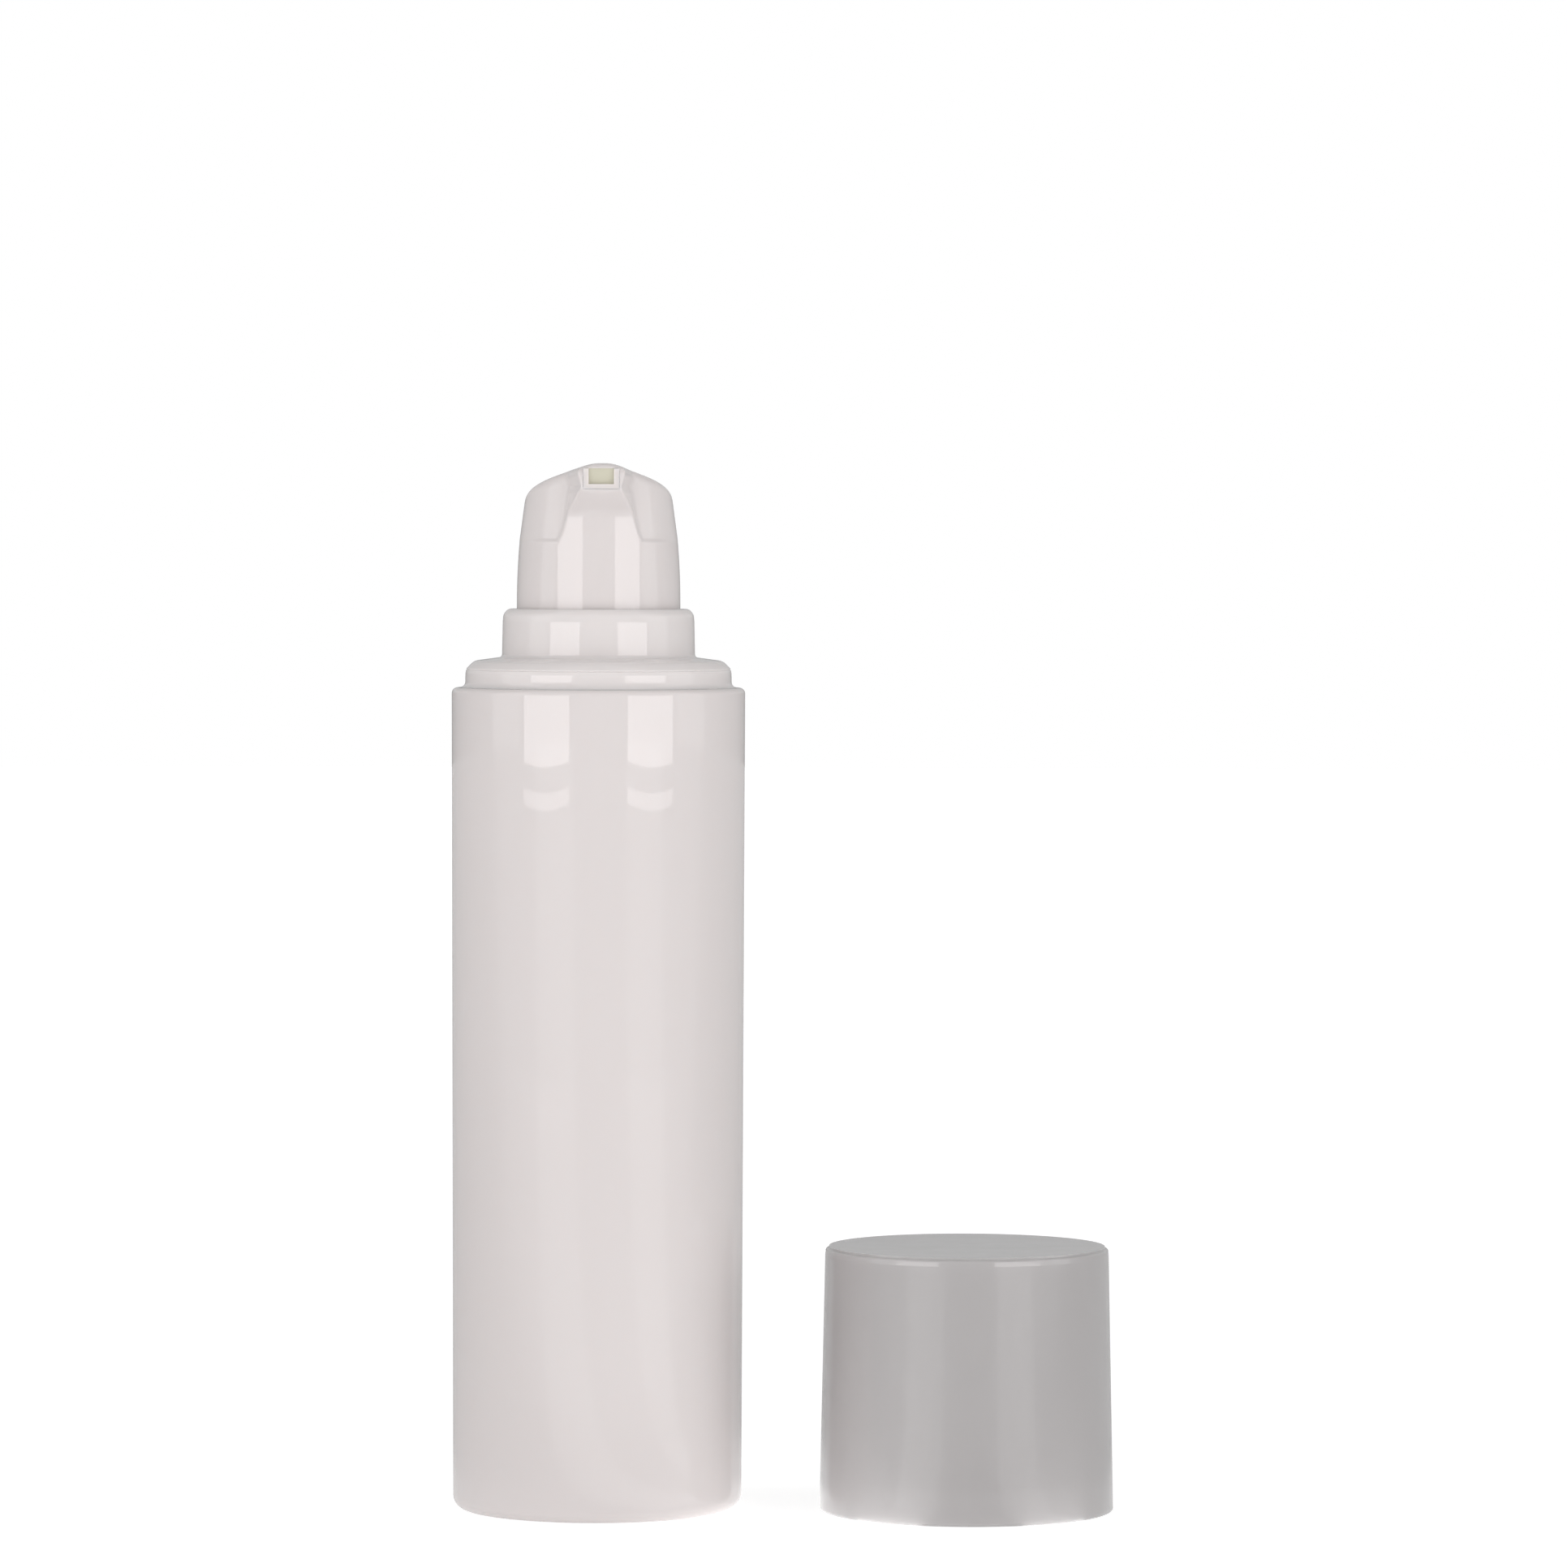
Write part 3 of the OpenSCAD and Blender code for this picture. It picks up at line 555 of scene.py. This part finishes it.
def button_field(x, y, z):
    """Negative inside the button, about the distance in mm outside it."""
    r = np.hypot(x, y) + 1e-9
    front = front_radius(z)
    wing = side_radius(x, y, z)
    sides = r - wing
    depth = np.clip(front - r, 0.0, None)
    flanks = np.abs(x + SPOUT_SHIFT) - np.interp(z, *TONGUE_OUTLINE) - FLANK_LEAN * depth
    tongue = np.where(y < 0, smooth_max(flanks, r - front, 0.25), 5.0)
    tongue = smooth_max(tongue, BEAK_FACE_Y - y, 0.2)
    wall = smooth_min(sides, tongue, np.clip(front - wing, 0.001, 0.5))
    roof = RIDGE_Z - ROOF_SLOPE * smooth_max(np.abs(x) - RIDGE_HALF, 0.0 * x, 0.8)
    pad = PAD_LOW_Z + PAD_R - np.sqrt(np.clip(PAD_R**2 - (y - PAD_Y) ** 2, 0.0, None))
    return smooth_max(wall, z - smooth_min(roof, pad, 0.8), 1.2)


middle_top = button_field(np.array([0.0]), np.array([0.0]), np.array([RIDGE_Z]))[0]
print("field at the ridge's height, over the axis:", round(float(middle_top), 2), "mm")

# %% [markdown]
# Rays start on the button's axis. Up to just above the crease they run level, and from there they fan out
# from one point until they almost go straight up. Near the tongue and the beak they are 0.4 degrees
# apart, which is less than 0.1 mm on the surface, and at the back a wider step is plenty.

# %% Shoot the rays
FAN_Z = 111.0
front_turns = np.arange(-38.0, 38.01, 0.4)
back_turns = np.linspace(38.0, 322.0, 117)[1:-1]
turns = np.radians(np.concatenate([front_turns, back_turns]))
level_z = np.concatenate([np.linspace(SKIRT_Z, 109.0, 13)[:-1], np.arange(109.0, FAN_Z, 0.14)])
fan_angles = np.radians(np.concatenate([np.arange(0.0, 52.0, 0.55), np.linspace(52.0, 90.0, 21)[:-1]]))
RAY_LENGTH = 16.0
HALVINGS = 32


def skin_rings(offset):
    """Rings of points where the field has that value, from the skirt up to the roof."""
    start_z = np.concatenate([level_z, np.full(len(fan_angles), FAN_Z)])
    rise = np.concatenate([np.zeros(len(level_z)), fan_angles])
    rows, columns = np.meshgrid(np.arange(len(start_z)), np.arange(len(turns)), indexing="ij")
    dx = np.sin(turns)[columns] * np.cos(rise)[rows]
    dy = -np.cos(turns)[columns] * np.cos(rise)[rows]
    dz = np.sin(rise)[rows]
    z0 = start_z[rows]
    near = np.zeros_like(dx)
    far = np.full_like(dx, RAY_LENGTH)
    for _ in range(HALVINGS):
        middle = (near + far) / 2
        inside = button_field(dx * middle, dy * middle, z0 + dz * middle) < offset
        near = np.where(inside, middle, near)
        far = np.where(inside, far, middle)
    return np.stack([dx * near, dy * near, z0 + dz * near], axis=-1)


def skin_top(offset):
    """The height on the axis where the field has that value."""
    heights = np.linspace(112.0, 118.0, 6001)
    values = button_field(0.0 * heights, 0.0 * heights, heights)
    return float(heights[values < offset].max())


BUTTON_WALL = 0.95
outer = skin_rings(0.0)
inner = skin_rings(-BUTTON_WALL)
print("skin:", outer.shape[0], "rings of", outer.shape[1], "points")

# %% [markdown]
# The button is hollow, with a wall of 0.95 mm. The inner skin is the same field, read 0.95 mm deeper. We
# list its rings from the top down and the outer ones from the bottom up, so one run of faces makes
# the inside, the lower edge and the outside, and two points close the tops.

# %% Close the skin into a shell
rings = np.concatenate([inner[::-1], outer])
rings[: len(inner), :, 2] = np.maximum(rings[: len(inner), :, 2], SKIRT_Z)
ring_count, around = rings.shape[:2]
vertices = [tuple(v) for v in (rings.reshape(-1, 3) * MM).tolist()]
faces = []
for row in range(ring_count - 1):
    for column in range(around):
        right = (column + 1) % around
        low = row * around
        high = low + around
        faces.append((low + column, low + right, high + right, high + column))
vertices.append((0.0, 0.0, skin_top(-BUTTON_WALL) * MM))
vertices.append((0.0, 0.0, skin_top(0.0) * MM))
inner_tip = len(vertices) - 2
outer_tip = len(vertices) - 1
last = (ring_count - 1) * around
for column in range(around):
    right = (column + 1) % around
    faces.append((right, column, inner_tip))
    faces.append((last + column, last + right, outer_tip))
button_mesh = bpy.data.meshes.new("push_button")
button_mesh.from_pydata(vertices, [], faces)
button_mesh.validate()
button = put_in_scene("push_button", button_mesh)
shell = bmesh.new()
shell.from_mesh(button_mesh)
bmesh.ops.recalc_face_normals(shell, faces=shell.faces)
shell.to_mesh(button_mesh)
shell.free()
print("button:", len(button_mesh.vertices), "points,", len(button_mesh.polygons), "faces")

# %% [markdown]
# The spout's mouth is a pocket in the beak, just under the ridge. A Boolean cuts it cleanly, with a cutter
# whose long edges are rounded as the mould's core is. The pocket stays within the wall. Its end lies deeper
# at the floor than at the roof. Its faces get a warm grey that is painted light and shade: the dim channel,
# with light coming through the channel's roof behind it. The cut is applied to the mesh, and edges sharper
# than 35 degrees stay crisp.

# %% Make the cutter
MOUTH_HALF = 2.055
MOUTH_LOW = 116.445
MOUTH_HIGH = 118.77
MOUTH_ROOF_Y = -11.02
MOUTH_FLOOR_Y = -10.72
CUTTER_FRONT_Y = -14.0
CUTTER_ROUNDING = 0.2
END_HALF = 1.5
END_BACK_Y = -9.0
cutter_mesh = bpy.data.meshes.new("mouth_cutter")
block = bmesh.new()
corners = []
left = -MOUTH_HALF - SPOUT_SHIFT
right = MOUTH_HALF - SPOUT_SHIFT
for floor_y, roof_y in ((CUTTER_FRONT_Y, CUTTER_FRONT_Y), (MOUTH_FLOOR_Y, MOUTH_ROOF_Y)):
    for x, y, z in (
        (left, floor_y, MOUTH_LOW),
        (right, floor_y, MOUTH_LOW),
        (right, roof_y, MOUTH_HIGH),
        (left, roof_y, MOUTH_HIGH),
    ):
        corners.append(block.verts.new((x * MM, y * MM, z * MM)))
for quad in ((0, 1, 2, 3), (7, 6, 5, 4), (0, 4, 5, 1), (1, 5, 6, 2), (2, 6, 7, 3), (3, 7, 4, 0)):
    block.faces.new([corners[i] for i in quad])
bmesh.ops.recalc_face_normals(block, faces=block.faces)
long_edges = [e for e in block.edges if abs(e.verts[0].co.y - e.verts[1].co.y) > 1 * MM]
bmesh.ops.bevel(
    block, geom=long_edges, offset=CUTTER_ROUNDING * MM, segments=4, profile=0.5, affect="EDGES"
)
block.to_mesh(cutter_mesh)
block.free()
cutter = put_in_scene("mouth_cutter", cutter_mesh)
print("cutter:", len(cutter_mesh.polygons), "faces, with", len(long_edges), "edges rounded")

# %% Cut the mouth
cut = button.modifiers.new("mouth", "BOOLEAN")
cut.operation = "DIFFERENCE"
cut.solver = "EXACT"
cut.object = cutter
bpy.context.view_layer.update()
cut_mesh = bpy.data.meshes.new_from_object(button.evaluated_get(bpy.context.evaluated_depsgraph_get()))
button.modifiers.clear()
button.data = cut_mesh
bpy.data.objects.remove(cutter)
cut_mesh.name = "push_button_skin"
cut_mesh.materials.clear()
cut_mesh.materials.append(thin_white_pp)
cut_mesh.materials.append(mouth_painted_light_and_shade)
# The faces at the pocket's end get the mouth's painted light and shade.
for face in cut_mesh.polygons:
    spot = face.center / MM
    in_height = MOUTH_LOW < spot.z < MOUTH_HIGH
    in_depth = BEAK_FACE_Y + 0.1 < spot.y < END_BACK_Y
    in_mouth = abs(spot.x) < END_HALF and in_height and in_depth
    face.material_index = 1 if in_mouth and face.normal.y < -0.5 else 0
cut_mesh.shade_smooth()
cut_mesh.set_sharp_from_angle(angle=math.radians(35))
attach(button, "head")
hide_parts("actuator")
print("after the cut:", len(cut_mesh.polygons), "faces")

# %% [markdown]
# ## The spout insert
#
# The little frame in the mouth is the end of a separate part: a channel that leads the cream from the stem
# forward. Its section is a U, open at the top, where the button's roof covers it. We draw the U once and
# sweep it along the channel. Small bevels round its edges, inside and outside.

# %% Name the channel's sizes
INSERT_HALF = 2.05
INSERT_H = 2.3
CHANNEL_HALF = 1.425
CHANNEL_FLOOR = 0.55
CHANNEL_PATH = [(-11.36, 118.75), (-6.5, 118.75), (-4.0, 117.35), (-1.3, 116.1), (1.6, 115.2)]


def channel_section(top_z):
    """The U, as points in X and Z, with its open side at that height."""
    low = top_z - INSERT_H
    outline = [
        (-INSERT_HALF, top_z),
        (-INSERT_HALF, low),
        (INSERT_HALF, low),
        (INSERT_HALF, top_z),
        (CHANNEL_HALF, top_z),
        (CHANNEL_HALF, low + CHANNEL_FLOOR),
        (-CHANNEL_HALF, low + CHANNEL_FLOOR),
        (-CHANNEL_HALF, top_z),
    ]
    return [(x - SPOUT_SHIFT, z) for x, z in outline]


print("outlet:", 2 * CHANNEL_HALF, "by", round(INSERT_H - CHANNEL_FLOOR, 2), "mm")

# %% Sweep the channel
insert_mesh = bpy.data.meshes.new("spout_channel")
channel = bmesh.new()
sections = []
for y, top_z in CHANNEL_PATH:
    outline = channel_section(top_z)
    sections.append([channel.verts.new((x * MM, y * MM, z * MM)) for x, z in outline])
for near_section, far_section in zip(sections, sections[1:]):
    for i in range(len(near_section)):
        j = (i + 1) % len(near_section)
        channel.faces.new((near_section[i], near_section[j], far_section[j], far_section[i]))
for section in (sections[0], sections[-1]):
    for quad in ((0, 1, 6, 7), (1, 2, 5, 6), (2, 3, 4, 5)):
        channel.faces.new([section[i] for i in quad])
bmesh.ops.recalc_face_normals(channel, faces=channel.faces)
channel.to_mesh(insert_mesh)
channel.free()
insert_mesh.materials.append(ivory_pp)
insert_mesh.shade_smooth()
insert = put_in_scene("spout_channel", insert_mesh)
print("channel:", len(sections), "sections,", len(insert_mesh.polygons), "faces")

# %% Soften the channel's edges
soften = insert.modifiers.new("moulded_edges", "BEVEL")
soften.width = 0.07 * MM
soften.segments = 3
soften.limit_method = "ANGLE"
soften.angle_limit = math.radians(35)
flat_faces = insert.modifiers.new("flat_faces", "WEIGHTED_NORMAL")
flat_faces.weight = 100
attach(insert, "head")
print("edges of", round(soften.width / MM, 2), "mm")

# %% [markdown]
# The hidden end of the insert is turned: a socket that the stem goes into, with a flange that the
# return spring pushes against.

# %% Turn the socket
socket = turned_piece(
    "stem_socket",
    [
        (2.64, 98.9, 0.15),
        (3.6, 98.9, 0.2),
        (3.6, 103.4, 0.1),
        (5.3, 103.4, 0.1),
        (5.3, 104.4, 0.2),
        (3.6, 104.4, 0.2),
        (3.6, 113.6, 0.1),
        (1.4, 113.6, 0.1),
        (1.4, 104.95, 0.0),
        (2.64, 104.95, 0.1),
    ],
    ivory_pp,
    around=96,
)
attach(socket, "head")
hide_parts("spout_insert")

# %% [markdown]
# ## The return spring
#
# A round wire is wound on a mandrel into an open coil, and its two end turns are laid close so that they
# sit flat. We sweep a circle along that helix. When the button goes down the coil gets shorter between its
# seat, which stays, and the flange above.

# %% Wind the wire
SPRING_R = 4.5
WIRE_R = 0.4
SPRING_TURNS = 5.5
END_PITCH = 1.22
WIRE_SIDES = 10
TURN_STEPS = 28
seat, spring_top = (corner.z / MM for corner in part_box("return_spring"))
low_z = seat + WIRE_R
high_z = spring_top - WIRE_R
turn_stops = [0.0, 1.0, SPRING_TURNS - 1.0, SPRING_TURNS]
height_stops = [low_z, low_z + END_PITCH, high_z - END_PITCH, high_z]
coil = bmesh.new()
wire = []
for step in range(round(SPRING_TURNS * TURN_STEPS) + 1):
    turn = step / TURN_STEPS
    z = float(np.interp(turn, turn_stops, height_stops))
    ring = []
    for side in range(WIRE_SIDES):
        angle = math.tau * side / WIRE_SIDES
        r = SPRING_R + WIRE_R * math.cos(angle)
        x = r * math.cos(math.tau * turn)
        y = r * math.sin(math.tau * turn)
        ring.append(coil.verts.new((x * MM, y * MM, (z + WIRE_R * math.sin(angle)) * MM)))
    wire.append(ring)
print("wire:", len(wire), "rings from", round(low_z, 2), "to", round(high_z, 2), "mm")

# %% Make the spring
for near_ring, far_ring in zip(wire, wire[1:]):
    for i in range(WIRE_SIDES):
        j = (i + 1) % WIRE_SIDES
        coil.faces.new((near_ring[i], near_ring[j], far_ring[j], far_ring[i]))
coil.faces.new(wire[0])
coil.faces.new(wire[-1][::-1])
bmesh.ops.recalc_face_normals(coil, faces=coil.faces)
spring_mesh = bpy.data.meshes.new("return_coil")
coil.to_mesh(spring_mesh)
coil.free()
spring_mesh.materials.append(wire_steel)
spring_mesh.shade_smooth()
spring = put_in_scene("return_coil", spring_mesh)
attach(spring, "bottle")
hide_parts("return_spring")
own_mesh(spring)

# %% [markdown]
# ## The overcap
#
# The cap stands on its rim beside the bottle. It widens towards the rim, again for the mould, and its walls
# are 1.3 to 1.8 mm thick. Its widest part goes over the closure's ring. Further up three small steps
# narrow it, and they show through as faint level lines. The top face ends in an upright step, 0.25 mm
# high, and for the next 0.7 mm down the wall is a hair narrower, so light draws thin lines there.

# %% Turn the overcap
cap = turned_piece(
    "overcap_moulding",
    [
        (0.02, CAP_H, 0.0),
        (15.76, CAP_H, 0.02),
        (15.785, CAP_H - 0.25, 0.03),
        (CAP_TOP_R - 0.06, CAP_H - 0.34, 0.25),
        (CAP_TOP_R - 0.04, CAP_H - 0.66, 0.1),
        (CAP_TOP_R, CAP_H - 0.98, 0.3),
        (CAP_RIM_R, 0.0, 0.35),
        (15.5, 0.0, 0.25),
        (15.5, 4.0, 0.15),
        (15.0, 4.5, 0.15),
        (15.0, 5.4, 0.04),
        (14.88, 5.5, 0.04),
        (14.88, 8.3, 0.1),
        (14.75, 8.5, 0.1),
        (14.45, 28.8, 1.0),
        (0.02, 28.8, 0.0),
    ],
    cloudy_pp,
    centre=(CAP_X, CAP_Y),
)
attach(cap, "cap")
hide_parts("overcap")

# %% [markdown]
# ## The table
#
# The photograph's ground is plain white, with no horizon, so the table is a large pale disc, a hair below
# the feet. To the camera, and to light that comes through the cloudy cap, it shines a little by itself
# and so turns white, yet the lamps' light still counts, which keeps a soft contact shadow under
# both pieces.

# %% Lay the table
TABLE_R = 2900.0
TABLE_DROP = 0.02
table_mesh = bpy.data.meshes.new("table")
disc = bmesh.new()
bmesh.ops.create_circle(disc, cap_ends=True, segments=96, radius=TABLE_R * MM)
disc.to_mesh(table_mesh)
disc.free()
table = put_in_scene("table", table_mesh)
table.location = (0.0, 0.0, -TABLE_DROP * MM)
print("table:", 2 * TABLE_R, "mm across")

# %% [markdown]
# The pieces are glossy, so they show how bright the ground and the room are on each side. We tell that
# by direction: the angle between a direction over the ground and the camera's side, and a level for
# it. A colour ramp takes the angle's cosine and blends from one level to the next.


# %% Levels by direction
def level_band(tree, vector, stops):
    """A level by direction over the ground, from pairs of degrees off the camera's side and levels."""
    flat = add_node(tree, "ShaderNodeVectorMath", {"operation": "MULTIPLY"}, {0: vector})
    flat.inputs[1].default_value = (1.0, 1.0, 0.0)
    level = add_node(tree, "ShaderNodeVectorMath", {"operation": "NORMALIZE"}, {0: flat.outputs[0]})
    facing = add_node(tree, "ShaderNodeVectorMath", {"operation": "DOT_PRODUCT"}, {0: level.outputs[0]})
    facing.inputs[1].default_value = camera_side
    share = add_node(
        tree, "ShaderNodeMapRange", {"From Min": -1.0, "From Max": 1.0}, {"Value": facing.outputs["Value"]}
    )
    band = add_node(tree, "ShaderNodeValToRGB", {}, {"Fac": share.outputs["Result"]})
    elements = band.color_ramp.elements
    while len(elements) < len(stops):
        elements.new(0.5)
    for element, (degrees, light) in zip(elements, sorted(stops, reverse=True)):
        element.position = (math.cos(math.radians(degrees)) + 1.0) / 2.0
        element.color = (light, light, light, 1.0)
    return band.outputs["Color"]


def seen_directly(tree):
    """One for the camera's rays and for those that come through a clear piece, zero for all others."""
    ray = add_node(tree, "ShaderNodeLightPath")
    either = {0: ray.outputs["Is Camera Ray"], 1: ray.outputs["Is Transmission Ray"]}
    return add_node(tree, "ShaderNodeMath", {"operation": "MAXIMUM"}, either).outputs[0]


camera_side = Vector((eye.x, eye.y, 0.0)).normalized()
print("the camera's side:", [round(v, 3) for v in camera_side])

# %% [markdown]
# The table's glow is painted light, which lights the pieces from below, and not evenly. The painted glow is
# brighter well in front of them, also close round their feet, and most of all between them. These are
# painted pools of light that fade over a distance. Two wedges fan out from the cap's axis, at a slant to
# the camera's side. They are painted reflections of the softboxes in the ground.

# %% Paint pools of light on the table
table_finish_with_painted_glow = bpy.data.materials.new("matt_white_table_with_painted_glow")
table_finish_with_painted_glow.use_nodes = True
tree = table_finish_with_painted_glow.node_tree
tree.nodes.clear()
place = add_node(tree, "ShaderNodeTexCoord").outputs["Object"]
ahead = add_node(tree, "ShaderNodeVectorMath", {"operation": "DOT_PRODUCT"}, {0: place})
ahead.inputs[1].default_value = camera_side
reach = add_node(tree, "ShaderNodeVectorMath", {"operation": "DISTANCE"}, {0: place})
reach.inputs[1].default_value = (0.5 * CAP_X * MM, 0.0, 0.0)
from_cap = add_node(tree, "ShaderNodeVectorMath", {"operation": "SUBTRACT"}, {0: place})
from_cap.inputs[1].default_value = (CAP_X * MM, CAP_Y * MM, 0.0)
# Painted glow: the wedges are painted reflections of the softboxes, and the pools are painted light from
# below.
PAINTED_SOFTBOX_REFLECTIONS = [(0, 0.0), (19, 0.0), (22, 0.55), (49, 0.55), (52, 0.0), (180, 0.0)]
painted_glow_level = level_band(tree, from_cap.outputs[0], PAINTED_SOFTBOX_REFLECTIONS)
PAINTED_LIGHT_POOLS = [(ahead, 40, 160, 0.06, 0.43), (reach, 30, 90, 0.3, 0.0), (reach, 6, 30, 0.55, 0.0)]
for measure, near_mm, far_mm, near_level, far_level in PAINTED_LIGHT_POOLS:
    painted_pool = add_node(tree, "ShaderNodeMapRange", {}, {"Value": measure.outputs["Value"]})
    painted_pool.interpolation_type = "SMOOTHSTEP"
    painted_pool.inputs["From Min"].default_value = near_mm * MM
    painted_pool.inputs["From Max"].default_value = far_mm * MM
    painted_pool.inputs["To Min"].default_value = near_level
    painted_pool.inputs["To Max"].default_value = far_level
    both = {0: painted_glow_level, 1: painted_pool.outputs["Result"]}
    painted_glow_level = add_node(tree, "ShaderNodeMath", {"operation": "ADD"}, both).outputs[0]
print("pools of light on the table:", len(PAINTED_LIGHT_POOLS), "and the wedges")

# %% Finish the table
WHITE = (1.0, 1.0, 1.0, 1.0)
SEEN_GLOW = 0.78
board = add_node(tree, "ShaderNodeBsdfDiffuse", {"Color": linear("DCDCDC")})
# The glow that the pieces see is painted light, in pools and wedges.
glow = add_node(tree, "ShaderNodeEmission", {"Color": WHITE}, {"Strength": painted_glow_level})
lit_board = add_node(tree, "ShaderNodeAddShader", {}, {0: board.outputs[0], 1: glow.outputs[0]})
seen_board = add_node(tree, "ShaderNodeBsdfDiffuse", {"Color": linear("B4B4B4")})
seen_glow = add_node(tree, "ShaderNodeEmission", {"Color": WHITE, "Strength": SEEN_GLOW})
white_board = add_node(tree, "ShaderNodeAddShader", {}, {0: seen_board.outputs[0], 1: seen_glow.outputs[0]})
sides = {0: seen_directly(tree), 1: lit_board.outputs[0], 2: white_board.outputs[0]}
choice = add_node(tree, "ShaderNodeMixShader", {}, sides)
add_node(tree, "ShaderNodeOutputMaterial", {}, {"Surface": choice.outputs[0]})
table_mesh.materials.append(table_finish_with_painted_glow)
print("table finish:", len(tree.nodes), "nodes")

# %% [markdown]
# ## The light
#
# Two wide, low softboxes stand left and right of the camera, 23 to 60 degrees off its axis. On the glossy
# cup each shows as one upright bright strip, short because the softbox is low. Under each stands a
# dimmer one, only 3.5 mm high, that shows as a small curved mark a little way below the strip.

# %% Place the softboxes
LAMP_FAR = 700.0
LAMP_TURN = 41.2
LAMP_HALF = 18.6
LAMP_WIDTH = 2 * LAMP_FAR * math.tan(math.radians(LAMP_HALF))
LAMP_COLOUR = "FFFAFA"
towards_camera = math.atan2(eye.y, eye.x)


def softbox(name, side, low, high, radiance):
    """A flat lamp that faces the bottle's axis, from a height to a height in mm."""
    data = bpy.data.lights.new(name, "AREA")
    data.shape = "RECTANGLE"
    data.size = LAMP_WIDTH * MM
    data.size_y = (high - low) * MM
    data.energy = math.pi * radiance * data.size * data.size_y
    data.color = linear(LAMP_COLOUR)[:3]
    lamp = bpy.data.objects.new(name, data)
    bpy.context.scene.collection.objects.link(lamp)
    turn = towards_camera + side * math.radians(LAMP_TURN)
    middle = (low + high) / 2 * MM
    lamp.location = (LAMP_FAR * MM * math.cos(turn), LAMP_FAR * MM * math.sin(turn), middle)
    inwards = Vector((0.0, 0.0, lamp.location.z)) - lamp.location
    lamp.rotation_euler = inwards.to_track_quat("-Z", "Y").to_euler()


for side, hand in ((-1, "left"), (1, "right")):
    softbox("softbox_" + hand, side, 62.0, 145.0, 2.85)
    softbox("softbox_skirt_" + hand, side, 53.3, 56.8, 1.9)
print("softboxes", round(LAMP_WIDTH), "mm wide")

# %% [markdown]
# The room gives the rest. It is light in front, brighter still at both sides, some 60 to 90 degrees off
# the camera's side, and dim behind the bottle, so the edges of the round parts fall off softly. Near the
# table the levels differ a little from those above, and all of it dims towards the ceiling. The camera,
# and light that comes through the cap, see plain white instead.

# %% Set the room's levels
world = bpy.data.worlds.new("studio")
bpy.context.scene.world = world
world.use_nodes = True
tree = world.node_tree
tree.nodes.clear()
direction = add_node(tree, "ShaderNodeTexCoord").outputs["Generated"]
LOW_LEVELS = [(0, 1.0), (63, 1.0), (66, 1.5), (89, 1.5), (93, 0.55), (126, 0.42), (180, 0.36)]
HIGH_LEVELS = [(0, 0.97), (57, 1.0), (60, 1.75), (88, 1.75), (92, 0.8), (120, 0.55), (180, 0.6)]
low_room = level_band(tree, direction, LOW_LEVELS)
high_room = level_band(tree, direction, HIGH_LEVELS)
height = add_node(tree, "ShaderNodeSeparateXYZ", {}, {"Vector": direction}).outputs["Z"]
climb = add_node(tree, "ShaderNodeMapRange", {"From Min": 0.03, "From Max": 0.1}, {"Value": height})
room = add_node(tree, "ShaderNodeMix", {"data_type": "RGBA"})
tree.links.new(climb.outputs["Result"], room.inputs[0])
tree.links.new(low_room, room.inputs[6])
tree.links.new(high_room, room.inputs[7])
print("room light with", len(LOW_LEVELS), "and", len(HIGH_LEVELS), "stops")

# %% Light the room
ceiling = add_node(tree, "ShaderNodeMapRange", {"From Min": 0.2, "From Max": 1.0}, {"Value": height})
ceiling.inputs["To Min"].default_value = 0.91
ceiling.inputs["To Max"].default_value = 0.58
levels = {"Color": room.outputs[2], "Strength": ceiling.outputs["Result"]}
room_light = add_node(tree, "ShaderNodeBackground", {}, levels)
white_ground = add_node(tree, "ShaderNodeBackground", {"Color": WHITE, "Strength": 1.0})
sides = {0: seen_directly(tree), 1: room_light.outputs[0], 2: white_ground.outputs[0]}
choice = add_node(tree, "ShaderNodeMixShader", {}, sides)
add_node(tree, "ShaderNodeOutputWorld", {}, {"Surface": choice.outputs[0]})
bpy.context.scene.view_settings.view_transform = "Standard"
print("view transform:", bpy.context.scene.view_settings.view_transform)

# %% [markdown]
# ## Finish
#
# The scene is brought up to date. The dressed model must not grow beyond the solid one.

# %% Finish
bpy.context.view_layer.update()
